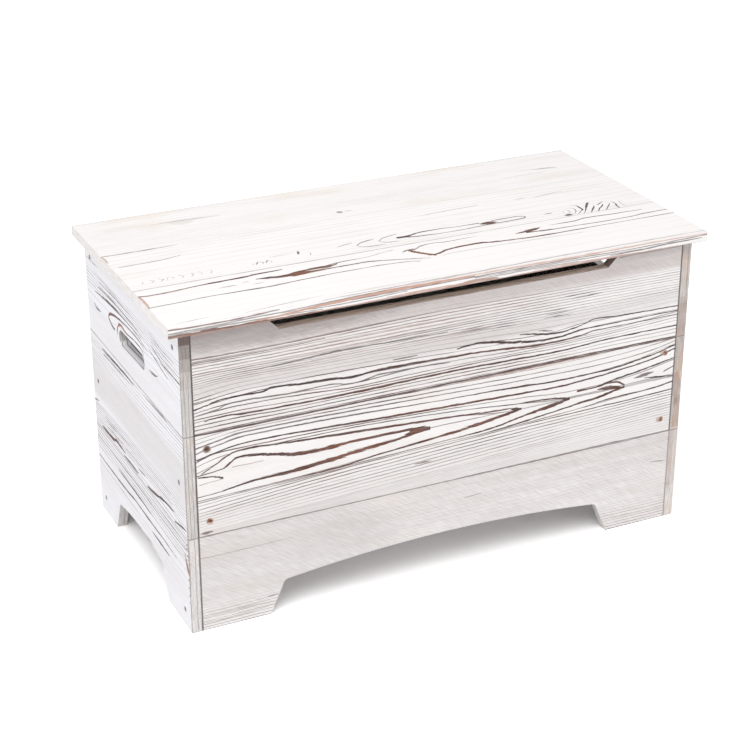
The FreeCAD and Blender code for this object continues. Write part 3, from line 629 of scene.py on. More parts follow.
MIDDLE_STROKES = [
    ({54: 239, 65: 246, 80: 251, 95: 250, 130: 243, 185: 236, 250: 238, 300: 238, 340: 236, 356: 233},
     (1, 1.6, 2, 2.4, 2, 1.4, 1.4, 2.2), (0.5, 0.3, 0.7, 0.9, 0.8, 0.7)),
    ({52: 206, 80: 210, 100: 212, 150: 213, 200: 217, 250: 222, 300: 226, 356: 233},
     (0.8, 1.3, 2.1, 2.6, 2.4, 2.4, 1.6, 1.8), (0.2, 0.4, 0.6, 0.9, 0.7, 0.6)),
    ({316: 231, 335: 233, 355: 233.5}, (0.3, 3.2, 0.6), 0.8),
    ({65: 238, 110: 238}, 0.5, 0.2, 0.6),
    ({18: 233, 40: 230, 53: 225}, (0.9, 0.7, 1.4), 0.1),
    ({20: 222, 52: 224}, (0.6, 0.5), 0.1, 0.6),
    ({23: 237, 45: 248, 60: 256, 85: 261, 130: 258, 200: 253.5, 300: 248, 385: 243, 450: 238, 480: 236,
     499: 232}, (0.8, 1, 1.1, 1.3, 1.3, 1.2, 1, 0.7), (0.3, 0.5, 0.8, 0.5)),
    ({150: 202, 220: 204, 270: 209, 320: 213, 400: 219, 440: 224, 470: 228, 499: 232},
     (0.6, 1, 1, 1.1, 1.6, 1.9, 1.4), (0.4, 0.6, 0.6, 0.9, 0.4)),
    ({412: 221, 430: 223, 452: 224}, (0.4, 2.2, 0.4), 0.9, 0.8),
    ({482: 234, 498: 232.5}, (0.5, 2, 0.4), 0.2),
    ({490: 241, 520: 240, 545: 238, 577: 232}, (0.6, 0.9, 1.1, 1.6), 0.4),
    ({400: 209, 450: 212, 500: 220, 520: 223, 550: 227, 577: 232}, (0.7, 1, 1.1, 1.2, 2.2, 1.6),
     (0.4, 0.5, 0.7, 0.3)),
    ({588: 241, 620: 241, 640: 243.5, 668: 235}, (1.4, 1, 1.2, 1.4), 0.7),
    ({622: 237, 645: 235, 667: 231}, (0.4, 2.4, 2, 0.6), 0.6),
    ({450: 207, 500: 211, 550: 216, 600: 222, 625: 224, 640: 227, 668: 232}, (0.6, 0.9, 0.9, 1.1, 1.7, 1.6),
     (0.3, 0.4, 0.5)),
    ({612: 240, 650: 247, 690: 252, 752: 262}, (0.5, 1.1, 1, 0.8), 0.2),
    ({683: 242, 700: 244, 716: 246}, (0.4, 2.4, 0.6), 0.1, 0.8),
    ({700: 239, 752: 233}, (0.5, 0.9, 0.8), 0.1),
    ({733: 243, 752: 249}, (0.9, 0.7), 0.1),
    ({18: 258, 50: 265, 100: 270, 200: 267, 300: 263, 400: 259.5, 500: 256, 550: 254.5, 600: 256, 650: 260,
     700: 265, 752: 277}, (0.7, 0.9, 1.2, 1.3, 1.3, 1.1, 1, 0.9), (0.1, 0.3, 0.8, 0.5, 0.1)),
    ({16: 267.5, 50: 275, 100: 280, 385: 271}, (0.8, 0.9, 0.8, 0.5), 0.3, 0.8),
    ({16: 275, 50: 281, 100: 286, 300: 282, 400: 279}, (0.9, 1, 0.8, 0.5), 0.2, 0.8),
    ({385: 271, 450: 269, 500: 267, 550: 264, 600: 264, 700: 272, 752: 283}, (0.5, 1, 1, 0.9), 0.3),
    ({600: 213, 650: 218, 700: 219, 752: 224}, (0.5, 0.9, 0.9), 0.3),
    ({500: 206, 600: 208, 700: 210, 752: 212}, (0.4, 0.7, 0.8), 0.2),
    ({332: 182.5, 358: 182}, (0.4, 1.2, 0.4), 0.8, 0.7),
    ({18: 149, 36: 149.5}, (0.4, 1.8, 0.4), 0.6, 0.8),
    ({16: 293.4, 200: 293.4, 480: 293.4, 620: 293.2, 750: 293.2}, (0.6, 0.5, 0.4, 0.5, 0.5), 0.5),
    ({360: 292.2, 420: 292.2, 520: 292, 620: 292.2}, (0.3, 0.6, 0.7, 0.4), 1.6, 0.7),
    ({16: 144.7, 300: 144.6, 540: 144.8, 600: 145.2, 700: 145.2, 750: 144.8},
     (0.5, 0.4, 0.3, 0.8, 0.8, 0.5), 0.2, 0.7),
    Spot((32, 272), (6, 5.4), 0.7, 0.8),
    Spot((32, 165), (5.6, 5), 1.4, 0.5),
    Spot((731, 273), (6, 4.6), 1.3, 0.5),
    Spot((731, 166), (5.6, 4.8), 1.3, 0.5),
]

# The front top board: a smooth strip at the top, dense lines, a smooth strip, then wavy lines; along the
# top, painted shadow from the lid.
TOP_LINES = [
    ({0: 290, 200: 292, 400: 292, 766: 290}, 4),
    ({0: 312, 65: 314, 150: 311, 385: 312, 550: 309.5, 650: 313, 766: 313}, 1),
    ({0: 316, 80: 318, 150: 316, 300: 315, 450: 317, 550: 315, 766: 321}, 1),
    ({0: 320, 80: 325, 200: 321, 240: 318, 350: 320, 550: 319, 766: 326}, 1),
    ({0: 324, 80: 331, 150: 328, 240: 324, 340: 328, 475: 324, 560: 322, 766: 330}, 1),
    ({0: 328, 50: 336, 125: 341, 190: 336, 300: 334, 450: 331, 560: 325, 766: 335}, 1),
    ({0: 336, 100: 346, 300: 343, 400: 340, 490: 336, 545: 331, 620: 337, 766: 338}, 1),
    ({0: 342, 100: 352, 300: 350, 420: 346, 530: 340, 600: 345, 700: 344, 766: 344}, 2),
    ({0: 358, 75: 363, 200: 361, 380: 361, 500: 359, 620: 356, 766: 358}, 6),
    ({0: 380, 200: 380, 400: 381, 600: 382, 766: 380}, 5),
    ({0: 402, 95: 401, 350: 404, 550: 402, 766: 399}, 1),
    ({0: 412, 766: 408}, 1),
]
TOP_STROKES_AND_SHADE = [
    ({16: 330, 35: 334, 75: 339, 110: 338, 125: 341, 165: 338, 215: 336, 240: 333.5, 282: 336, 345: 335,
     410: 333, 475: 329, 540: 325, 590: 327, 620: 330, 752: 330},
     (0.8, 1.1, 1.4, 1.4, 1.3, 1.2, 1.1, 0.9, 0.6, 0.6), (0.1, 0.1, 0.3, 0.7, 0.5, 0.1)),
    ({395: 344, 420: 346, 445: 344, 465: 340, 490: 336, 545: 331, 600: 336, 752: 336},
     (0.8, 1.6, 1.2, 0.8, 0.7, 0.6), (0.2, 0.2, 0.4, 0.1)),
    ({298: 346, 335: 346}, (0.4, 1, 0.5), 0.2, 0.8),
    ({492: 347, 510: 344, 530: 340, 550: 338, 575: 340, 600: 345, 615: 348, 640: 346, 752: 343},
     (0.7, 1.2, 0.7, 0.8, 0.7, 0.6), 0.15),
    ({520: 347, 545: 342}, (0.3, 0.9, 0.3), 0.2, 0.8),
    ({20: 322, 50: 326, 80: 331, 150: 328, 205: 329, 240: 324, 285: 329, 340: 328, 385: 326},
     (0.5, 0.9, 0.8, 0.9, 0.6), 0.1, 0.8),
    ({30: 312, 65: 314, 80: 312, 150: 311, 250: 310, 385: 312, 550: 309.5, 650: 313, 752: 313},
     (0.9, 1.1, 1.2, 1.1, 0.9, 0.8), (0.4, 0.7, 0.4, 0.2)),
    ({16: 340, 40: 342.5}, (0.7, 0.5), 0.1, 0.8),
    ({75: 371, 150: 372, 230: 375, 300: 373, 380: 372}, (0.3, 0.9, 1, 0.8, 0.4), 0.1, 0.8),
    ({395: 366, 420: 366, 445: 365}, (0.2, 0.5, 0.2), 0.3, 0.8),
    ({400: 370, 435: 370}, (0.2, 0.5, 0.2), 0.3, 0.8),
    ({448: 364, 485: 363}, (0.2, 0.6, 0.2), 0.3, 0.8),
    ({450: 368, 490: 367}, (0.2, 0.5, 0.2), 0.2, 0.8),
    ({528: 364, 575: 363}, (0.2, 0.6, 0.2), 0.1, 0.9),
    ({532: 368, 580: 368}, (0.2, 0.5, 0.2), 0.1, 0.9),
    ({530: 373, 570: 373}, (0.2, 0.5, 0.2), 0.1, 0.8),
    ({572: 385, 622: 386}, (0.3, 0.9, 0.3), 0.1, 0.8),
    ({560: 390, 610: 390}, (0.3, 0.8, 0.3), 0.1, 0.8),
    # Painted shadow under the lid's overhang: a broad dark patch at the left of the top strip and thin dark
    # lines just under the lid.
    Spot((130, 440), (250, 34), 0.2, 0.34),
    ({16: 433.5, 70: 433.5, 124: 434}, (2.4, 2, 1), 0.9, 0.4),
    ({645: 434.4, 752: 434.4}, (1.2, 0.8), 0.5, 0.4),
    ({100: 377.5, 250: 379, 430: 379}, (0.3, 0.7, 0.3), 1.5, 0.45),
    ({60: 383, 220: 385, 460: 384}, (0.4, 0.7, 0.3), 1.4, 0.45),
    ({140: 389, 300: 391, 520: 389}, (0.3, 0.8, 0.3), 1.5, 0.45),
    ({200: 396, 360: 399, 500: 398}, (0.3, 0.6, 0.3), 1.2, 0.5),
    ({180: 369, 320: 367, 440: 366}, (0.3, 0.6, 0.3), 1.3, 0.5),
    ({16: 295, 300: 295, 480: 295.2, 520: 295.6, 752: 295.8}, (0.5, 0.5, 0.6, 0.8, 0.9, 0.8), 0.5),
    ({150: 296.6, 300: 297, 420: 296.8, 620: 297.2}, (0.3, 0.5, 0.6, 0.4), 1, 0.5),
    ({16: 401, 95: 400, 200: 401, 350: 404}, (0.9, 0.7, 0.7, 0.4), 0.8, 0.8),
    ({16: 395.5, 95: 395, 200: 396}, (0.8, 0.6, 0.5), 0.8, 0.8),
]

# The front bottom board: pale and plain, with faint streaks.
BOTTOM_LINES = [
    ({0: -4, 400: -2, 766: -4}, 10),
    ({0: 40, 400: 44, 766: 42}, 8),
    ({0: 78, 200: 82, 500: 76, 766: 84}, 6),
    ({0: 112, 200: 111, 400: 113, 766: 109}, 4),
    ({0: 150, 766: 150}, 1),
]
BOTTOM_STROKES = [
    Spot((120, 90), (190, 62), 0, 0.1),
    Spot((60, 60), (110, 40), 0, 0.07),
    ({16: 143.6, 300: 143.6, 540: 143.5, 700: 143.3, 750: 143.6}, (0.4, 0.3, 0.4, 0.8, 0.5), 0.2, 0.6),
    ({16: 20, 60: 21, 120: 19}, (0.5, 0.8, 0.4), 0.6, 0.35),
    ({16: 12, 50: 11, 110: 13}, (0.4, 0.7, 0.3), 0.8, 0.35),
    ({640: 16, 700: 18, 750: 17}, (0.3, 0.7, 0.5), 0.6, 0.3),
    ({16: 112, 60: 111.5, 150: 112.5}, (0.5, 0.5, 0.3), 0.2, 0.5),
    ({410: 111, 440: 112.5}, (0.3, 0.6, 0.3), 0.2, 0.5),
    ({722: 98, 748: 95}, (0.4, 1, 0.4), 0.8, 0.5),
    ({110: 29, 128: 30}, (0.3, 0.9, 0.3), 0.3, 0.6),
]

# The lid's front board.
LID_FRONT_LINES = [
    ({0: -4, 400: -4, 800: -4}, 3),
    ({0: 8, 60: 14, 215: 16, 380: 11, 800: 10}, 2),
    ({0: 50, 400: 52, 800: 56}, 1),
    ({0: 72, 100: 76, 225: 78, 300: 80, 370: 74, 430: 76, 500: 78, 640: 72, 800: 70}, 1),
    ({0: 92, 200: 96, 350: 91, 412: 82, 455: 95, 545: 87, 640: 84, 800: 84}, 1),
    ({0: 113, 100: 117, 205: 122, 350: 120, 400: 112, 560: 108, 650: 98, 740: 97, 800: 100}, 1),
    ({0: 122, 200: 127, 400: 123, 615: 116, 670: 119, 765: 115, 800: 117}, 2),
    ({0: 137, 800: 137}, 1),
]
LID_FRONT_STROKES = [
    upright({72: 1.5, 90: 2.5, 114: 1.5}, (0.9, 1.6, 1.1), 1.7, 0.7),
    ({0: 112, 25: 110.4, 70: 113}, (1.2, 1.4, 0.5), 1.8, 0.6),
    ({0: 113, 20: 111, 50: 113, 100: 117, 150: 119, 170: 121, 205: 122}, (0.9, 0.9, 1.2, 1.9, 1.7, 0.7),
     (0.9, 0.8, 0.6, 0.5)),
    ({0: 72, 50: 74, 100: 76, 150: 74, 225: 78, 300: 80, 350: 78, 385: 70}, (0.8, 0.7, 1.1, 0.8, 0.8, 0.6),
     (0.1, 0.5, 0.3, 0.3)),
    ({160: 105, 178: 102, 200: 99, 225: 99, 255: 98}, (0.8, 2.8, 3.8, 5.2, 3.4, 1.6), (0.3, 0.6, 0.9, 0.9)),
    ({212: 106, 240: 107, 262: 106, 280: 110}, (0.6, 2.2, 3.6, 1), 0.8),
    ({255: 98, 315: 99, 330: 96, 350: 91, 370: 85, 402: 75}, (1.6, 1.2, 1.2, 0.9, 0.8, 0.5),
     (0.8, 0.6, 0.3)),
    ({255: 107, 285: 113, 330: 115, 350: 120, 370: 124}, (1.2, 0.9, 0.6, 0.4), 0.5, 0.8),
    ({104: 96, 118: 97, 132: 96}, (0.3, 1.1, 0.3), 0.3, 0.7),
    ({140: 102, 150: 102}, (0.4, 0.8, 0.3), 0.3, 0.7),
    ({149: 90, 165: 90}, (0.3, 0.8, 0.3), 0.5, 0.6),
    ({376: 109, 386: 114, 397: 116}, (0.4, 1.6, 0.6), 0.7),
    ({388: 110, 397: 99, 405: 89, 414: 82}, (4.4, 4.4, 3.4, 1.8), (0.9, 1, 0.6)),
    ({410: 82, 425: 87, 435: 92, 455: 95, 480: 96, 500: 93, 545: 87, 590: 84, 640: 84, 800: 84},
     (1.8, 1.9, 1.4, 1.2, 0.8, 0.6, 0.6), (0.8, 0.8, 0.4, 0.1)),
    ({386: 110, 398: 113, 410: 120, 430: 123, 450: 120, 498: 122}, (1.6, 1.2, 0.8, 0.8, 0.8, 0.3),
     (0.8, 0.5, 0.3), 0.85),
    ({420: 74, 430: 78, 460: 79, 500: 78, 640: 71}, (0.5, 0.6, 0.4), 0.2, 0.5),
    ({550: 106, 570: 108, 594: 113}, (0.4, 2.2, 3.4, 0.8), 0.6),
    ({566: 104, 600: 100, 650: 98, 700: 96, 740: 97, 760: 100, 800: 100}, (1.8, 1, 0.8, 0.8, 0.8),
     (0.6, 0.2, 0.1)),
    ({612: 116, 650: 115, 670: 119, 710: 117, 765: 115}, (0.4, 0.9, 1, 0.8, 0.4), 0.1),
    ({0: 132.5, 200: 134, 400: 134, 800: 134}, (0.7, 0.9, 0.6, 0.4), 0.9, 0.6),
    ({15: 10, 60: 14}, (0.3, 0.7, 0.3), 0.1, 0.5),
    ({105: 6, 160: 12, 215: 16}, (0.3, 0.8, 0.3), 0.3, 0.5),
    ({220: 9, 300: 11, 380: 11}, (0.3, 0.6, 0.3), 0.3, 0.4),
    ({210: 2, 290: 3, 380: 3, 560: 6, 800: 5}, (0.6, 1.9, 1.4, 1.2, 0.8), 0.9, 0.5),
]

# The lid's front edge, with the height above its underside across it.
LID_EDGE_STROKES = [
    ({0: 7.5, 60: 7.8, 130: 9.5, 230: 6, 330: 7.5}, (0.9, 0.7, 0.6), 0.1, 0.65),
    ({0: 5, 90: 6, 150: 5.4, 210: 3.4}, (0.7, 0.8, 0.6), 0.3, 0.65),
    ({0: 12.4, 60: 11.2, 110: 12.2, 150: 14}, (0.9, 1, 0.6), 1, 0.8),
    ({90: 2.7, 150: 5.4, 190: 8.2, 230: 10.2, 290: 11.6, 360: 12.2, 430: 11.6},
     (0.7, 1.1, 1.5, 1.9, 1.9, 1.6, 0.7), 1.9, 0.75),
    ({130: 8.8, 190: 10.9, 250: 13, 300: 14}, (0.5, 0.6, 0.5), 0.4, 0.7),
    ({250: 8.8, 330: 9.5, 420: 9.9, 560: 10.2, 680: 8.8, 750: 9.5, 800: 10.2}, (0.5, 0.7, 0.7, 0.6, 0.6),
     0.3, 0.75),
    ({380: 13, 480: 13, 600: 12.2, 700: 12.6, 800: 11.6}, (0.5, 0.9, 1, 0.8, 0.6), 2, 0.6),
    ({430: 8.2, 520: 8.2, 600: 7.1, 690: 6.1}, (0.5, 0.7, 0.6), 0.5, 0.6),
    ({420: 5.8, 500: 6.1, 590: 4.8}, (0.4, 0.7, 0.5), 0.1, 0.6),
    ({640: 4.8, 700: 5.4, 740: 6.8, 790: 6.8}, (0.4, 0.8, 0.8, 0.5), 0.1, 0.8),
    ({385: 1.4, 410: 2.7, 440: 3.7, 465: 3.4}, (1, 2, 1.6, 0.6), 1.4, 0.75),
    ({0: 1.6, 35: 1.6, 80: 1.4, 130: 1, 230: 0.8}, (2.6, 2.6, 2.2, 1.6, 0.8), 1.2, 0.9),
    ({0: 3.4, 60: 3.2, 120: 2.6, 200: 1.8}, (0.5, 0.8, 0.6, 0.4), 0.5, 0.7),
    ({115: 0.5, 190: 0.9, 250: 1.2, 320: 0.8, 430: 0.6, 600: 1, 690: 0.5, 800: 0.2},
     (0.7, 1.1, 1.6, 1.3, 1.4, 1.4, 0.7), 1.6, 0.7),
    ({300: 3.4, 360: 3.8, 420: 2.6}, (0.5, 1.2, 0.5), 1.7, 0.6),
    ({520: 4.2, 600: 3.4, 680: 2.4}, (0.4, 0.8, 0.4), 1.6, 0.6),
]

# The lid's middle board: a row of chevrons, arcs, a long ellipse and a swirl.
LID_MIDDLE_LINES = [
    ({0: 132, 400: 132, 800: 132}, 2),
    ({0: 150, 200: 148, 400: 152, 600: 150, 800: 146}, 1),
    ({0: 178, 200: 176, 400: 178, 600: 172, 800: 178}, 3),
    ({0: 221, 100: 228, 300: 226, 550: 230, 800: 224}, 4),
    ({0: 272, 800: 272}, 1),
]
LID_MIDDLE_STROKES = [
    ({0: 268, 35: 267, 110: 268}, (0.9, 1.2, 0.5), 0.1, 0.7),
    upright({240: 1.5, 256: 2, 269: 1}, (0.4, 1.3, 1), 1.7, 0.6),
    ({10: 221, 45: 222, 70: 223, 100: 229}, (0.8, 0.9, 0.4), 0.1, 0.7),
    ({331: 158, 340: 166, 365: 173}, (0.7, 1, 0.4), 0.2, 0.8),
    ({331: 158, 340: 150, 370: 147}, (0.7, 0.9, 0.4), 0.2, 0.8),
    ({366: 162, 376: 170, 400: 176}, (0.8, 1, 0.4), 0.2, 0.8),
    ({366: 162, 374: 154, 392: 150}, (0.8, 0.9, 0.4), 0.2, 0.8),
    ({394: 162, 404: 162, 430: 168, 460: 169, 490: 166, 525: 165}, (2.6, 1.6, 0.9, 0.8, 1),
     (0.3, 0.5, 0.7)),
    ({545: 166, 580: 167, 598: 161}, (0.9, 0.8, 1), 0.6),
    ({404: 160, 440: 154, 480: 152, 520: 154, 590: 156, 598: 161}, (1.4, 0.8, 0.7, 0.8, 1), 0.3),
    ({305: 166, 330: 172}, (0.4, 1, 0.5), 0.2, 0.7),
    ({205: 170, 240: 170}, (0.3, 0.7, 0.3), 0.2, 0.5),
    ({625: 157, 640: 157}, (0.4, 1.2, 0.4), 0.4, 0.8),
    ({648: 140, 664: 141}, (0.4, 0.9, 0.4), 0.3, 0.6),
    ({460: 226, 500: 230, 560: 232}, (0.3, 0.8, 0.4), 0.3, 0.5),
    ({618: 229, 640: 231}, (0.3, 0.8, 0.3), 0.3, 0.5),
    ({650: 226, 680: 231, 700: 232}, (0.3, 0.9, 0.3), 0.3, 0.5),
    Spot((537, 160), (14, 5), 0.7),
    Spot((404, 162), (10, 3), 0.3, 0.9),
    upright({150: 54, 162: 58}, (0.5, 0.2), 0.1, 0.5),
    Chevrons(20, 130, (150, 162), 14),
    Chevrons(176, 206, (151, 162), 13),
    upright({152: 180, 157: 183, 162: 187}, (0.4, 1.1, 0.3), 0.3, 0.75),
    upright({152: 194, 157: 197, 162: 200}, (0.4, 1.1, 0.3), 0.3, 0.75),
    upright({163: 246, 169: 248, 175: 250}, (0.5, 1.4, 0.5), 0.1, 0.9),
    upright({154: 260, 162: 263}, (0.6, 0.4), 0.1, 0.7),
    Spot((657, 140), (6, 3.4), 0.1, 0.9),
    upright({148: 645, 150: 653, 154: 657, 159: 653, 162: 645}, (0.3, 0.5, 0.5, 0.3), 0.1, 0.6),
    upright({143: 650, 146: 660, 152: 666, 159: 665, 165: 655}, (0.3, 0.6, 0.7, 0.6, 0.3), 0.1, 0.7),
    upright({138: 659, 142: 668, 150: 675, 157: 677, 167: 670}, (0.4, 0.7, 0.8, 0.7, 0.4), 0.1, 0.8),
    upright({137: 671, 145: 680, 154: 687, 166: 687, 174: 679}, (0.5, 0.9, 1.2, 1, 0.4), 0.2),
    upright({136: 680, 145: 688, 155: 695, 165: 702, 173: 708}, (0.5, 0.8, 1.1, 2, 1.7), (0.1, 0.6)),
    upright({135: 692, 144: 699, 152: 706, 158: 710}, (0.4, 1.2, 1.4, 0.5), 0.1),
    upright({135: 704, 144: 711, 151: 719, 158: 725}, (0.4, 1.1, 1.4, 0.5), 0.1),
    upright({157: 714, 163: 723, 169: 732}, (0.4, 1.4, 0.5), 0.1, 0.9),
    upright({134: 716, 143: 724, 152: 732, 158: 737}, (0.4, 1, 1, 0.4), 0.1, 0.9),
    upright({134: 739, 144: 740, 154: 743, 163: 742}, (0.6, 1.2, 0.9, 0.4), 0.1, 0.9),
    upright({138: 752, 150: 751, 162: 755}, (0.3, 0.6, 0.3), 0.1, 0.6),
]

# The lid's back board: the plainest, with one knot.
LID_BACK_LINES = [
    ({0: 268, 400: 268, 800: 268}, 6),
    ({0: 320, 300: 312, 600: 322, 800: 312}, 5),
    ({0: 362, 400: 356, 800: 362}, 5),
    ({0: 406, 800: 406}, 1),
]
LID_BACK_STROKES = [
    Spot((145, 350), (18, 11), 1, 0.14),
    Spot((60, 340), (60, 28), 1, 0.05),
    Spot((365, 291), (5, 4), 0.1, 0.6),
    ({372: 291, 384: 290}, (0.5, 1.2, 0.4), 0.2, 0.5),
    ({12: 268, 60: 268.5, 112: 268}, (0.5, 1, 0.4), 0.1, 0.6),
    ({690: 341, 720: 336, 742: 333, 749: 330}, (0.3, 0.7, 1.7, 0.6), 0.5, 0.6),
    ({650: 319, 690: 321, 722: 320}, 0.5, 0.8, 0.4),
    ({0: 400, 350: 401, 800: 400}, (0.5, 0.4, 0.6), 0.7, 0.4),
    ({100: 357, 160: 356, 205: 353}, (0.4, 1.6, 0.5), 0.6, 0.4),
]

# The left side's outer face, with s from the front of the box.
SIDE_TOP_LINES = [
    ({0: 296, 392: 296}, 1),
    ({0: 338, 138: 338, 254: 332, 392: 338}, 2),
    ({0: 354, 85: 362, 140: 358, 205: 357, 254: 352, 300: 345, 392: 348}, 2),
    ({0: 368, 85: 375, 200: 374, 260: 372, 300: 370, 392: 366}, 6),
    ({0: 400, 200: 398, 392: 398}, 2),
    ({0: 442, 392: 442}, 1),
]
SIDE_TOP_STROKES = [
    ({2: 378, 60: 379, 110: 386}, (0.3, 0.6, 0.3), 0.1, 0.7),
    ({30: 385, 80: 387, 110: 391}, (0.3, 0.6, 0.3), 0.2, 0.7),
    ({232: 394, 280: 395, 350: 396}, (0.3, 0.6, 0.3), 0.2, 0.6),
    ({90: 432, 115: 428, 160: 426}, (0.3, 0.8, 0.3), 1.2, 0.5),
    ({262: 436, 290: 432, 330: 430}, (0.3, 1, 0.3), 1.4, 0.4),
    upright({337: 256, 347: 255, 355: 248}, (0.7, 1.6, 1.3), 1.3),
    ({143: 352, 152: 357, 170: 359, 199: 357, 217: 356, 236: 358, 250: 355}, (0.7, 0.7, 0.8, 1, 1.5, 2),
     (0.3, 0.6, 1.2, 1.3)),
    ({138: 357, 151: 365, 179: 368, 215: 367, 253: 364, 283: 358, 294: 350}, (0.4, 0.7, 0.7, 0.9, 1.6, 2.1),
     (0.2, 0.4, 1)),
    ({268: 340, 284: 344, 293: 349}, (1.5, 1.6, 2), (0.2, 0.9)),
    ({124: 360, 143: 368, 178: 373, 233: 374, 278: 373, 320: 370, 352: 367},
     (0.3, 0.6, 0.7, 1, 1.5, 1.1, 0.5), 0.2),
    ({149: 376, 177: 380, 213: 381, 250: 382, 335: 380}, (0.3, 0.6, 0.8, 0.8, 0.5), 0.2),
    ({150: 390, 230: 391, 330: 389}, (0.2, 0.7, 0.4), 0.1, 0.7),
    ({2: 370, 50: 370, 85: 375, 108: 380}, (0.8, 0.9, 0.5), 0.1),
    ({48: 358, 85: 365, 120: 371}, (0.4, 0.8, 0.3), 0.1),
    ({20: 392, 55: 391, 88: 393, 112: 397}, (0.3, 0.7, 0.3), 0.2, 0.7),
    ({88: 345, 100: 341, 123: 340}, (0.5, 1.6, 0.5), 0.2, 0.8),
    ({330: 343, 345: 342, 360: 346}, (0.4, 1.6, 0.6), 0.2, 0.9),
    ({330: 410, 388: 408}, (0.2, 0.7, 0.3), 0.2, 0.6),
]
SIDE_MIDDLE_LINES = [
    ({0: 142, 392: 142}, 2),
    ({0: 156, 100: 160, 200: 158, 300: 154, 392: 150}, 8),
    ({0: 196, 200: 190, 392: 180}, 1),
    ({0: 262, 200: 256, 392: 262}, 5),
    ({0: 290, 392: 286}, 1),
    ({0: 297, 392: 297}, 1),
]
SIDE_MIDDLE_STROKES = [
    ({60: 278, 110: 277, 160: 275}, (0.3, 0.6, 0.3), 0.2, 0.6),
    ({55: 170, 140: 168, 250: 163}, (0.3, 0.6, 0.4), 0.1, 0.7),
    ({230: 176, 290: 174, 345: 172}, (0.3, 0.7, 0.3), 0.1, 0.8),
    ({60: 183, 150: 180, 240: 177}, (0.3, 0.5, 0.3), 0.1, 0.6),
    ({60: 290, 90: 291, 120: 290, 155: 289}, (0.5, 1.8, 1.1, 0.4), 0.2, 0.7),
    ({195: 286, 240: 286.5, 290: 285, 335: 283.5}, (0.5, 1.4, 1.6, 0.7), 0.2),
    ({215: 280, 270: 279, 330: 277}, (0.3, 0.8, 0.7), 0.2, 0.8),
    ({50: 162, 85: 159, 105: 156, 130: 150, 160: 147}, (0.5, 1.5, 1.5, 1.5, 1), 0.1),
    ({112: 157, 135: 152, 152: 148}, (1.2, 2.4, 1), 1.9, 0.2),
    ({114: 155, 135: 151, 152: 148}, (0.4, 1.2, 0.7), 0.7),
    ({160: 159, 180: 158, 198: 156}, (0.4, 1.2, 0.4), 0.1, 0.8),
    ({262: 165, 290: 162, 335: 160}, (0.3, 1, 0.5), (0.3, 1, 0.2), 0.8),
    ({255: 153, 285: 155, 310: 151, 335: 149.5, 362: 149}, (0.7, 1.8, 2.1, 1.8, 0.8), 0.4),
    ({285: 170, 340: 168}, (0.3, 1, 0.4), 0.3, 0.8),
    ({200: 147, 230: 148, 262: 147}, (0.7, 1.6, 0.7), 0.1, 0.9),
    ({5: 156, 30: 152, 50: 147}, (0.7, 1.3, 0.7), 0.1),
    ({370: 186, 391: 182}, (0.7, 1.3), 0.1, 0.8),
]
SIDE_BOTTOM_LINES = [
    ({0: -2, 392: -2}, 1),
    ({0: 58, 392: 60}, 2),
    ({0: 80, 200: 79, 392: 80}, 1),
    ({0: 92, 200: 93, 392: 90}, 1),
    ({0: 106, 200: 108, 392: 106}, 7),
    ({0: 146, 392: 146}, 1),
]
SIDE_BOTTOM_STROKES = [
    ({150: 107, 220: 109, 250: 109, 292: 110}, (0.6, 1.3, 1.3, 0.5), 0.1),
    ({50: 91, 95: 93, 150: 93, 210: 94, 260: 91, 388: 90}, (0.4, 1.1, 1.2, 1.1, 0.6), 0.1),
    ({80: 78, 110: 79, 150: 80}, (0.6, 1.6, 0.5), 0.1),
    ({210: 81, 250: 80, 390: 80}, (0.3, 0.6, 0.4), 0.1, 0.5),
    ({150: 58, 192: 58}, (0.4, 0.9, 0.4), 0.1, 0.7),
    upright({90: 1, 101: 6, 110: 10, 118: 14}, (1.6, 3.2, 2.4, 0.8), 1.1, 0.9),
    *[({0: start, reach: end}, (0.9, 0.5), 0.8, 0.8)
      for start, reach, end in ((138, 9, 131), (132, 9, 126), (121, 7, 117))],
    *[({0: start, 5: end}, (1, 0.5), 0.7, 0.8) for start, end in ((84, 79), (72, 68), (60, 56))],
    ({0: 48, 5: 45}, (0.9, 0.4), 0.7, 0.7),
    ({2: 126, 90: 124, 200: 126, 390: 122}, (0.6, 0.7, 0.7, 0.4), 0.1, 0.7),
    ({2: 135, 60: 134, 140: 136}, (0.5, 0.9, 0.4), 0.3, 0.7),
]

# The front ends of the side boards, with s for the height and t for the place across from the outer face.
# The left top one has painted shade under the lid's overhang: patches that darken towards the lid and are
# wider than the board is thick.
BOARD_MIDDLE = 7.5
LID_SHADE_WIDTH = 9
LEFT_TOP_END_AND_SHADE = [
    # Painted shade under the lid, darkest in the patch next to it.
    *[({low: BOARD_MIDDLE, high: BOARD_MIDDLE}, LID_SHADE_WIDTH, 0.2, dark)
      for low, high, dark in ((423, 440, 0.85), (404, 424, 0.6), (386, 405, 0.42), (362, 387, 0.22),
                              (322, 363, 0.1))],
    ({296: 5, 360: 4.6, 424: 5}, 0.45, 0.2, 0.55),
    ({296: 10, 424: 10.5}, 0.45, 0.2, 0.45),
]
LEFT_MIDDLE_END = [
    ({146: 5.5, 292: 5}, 0.45, 0.2, 0.45),
    ({146: 10.5, 292: 10}, 0.45, 0.2, 0.5),
]
LEFT_BOTTOM_END = [
    ({4: 9, 142: 9.5}, 0.45, 0.2, 0.5),
    ({55: 0.6, 100: 0.9, 142: 0.8}, (0.4, 1, 0.7), 0.9, 0.5),
]
RIGHT_TOP_END = [
    ({1: -7.5, 20: -7, 52: -8}, (7, 7.5, 7), 1.1, 0.36),
    ({118: -7, 145: -7}, 9, 0.4, 0.15),
    ({50: -7, 62: -6}, 8, 0.8, 0.2),
    ({62: -4, 145: -5}, 0.8, 0.6, 0.4),
]
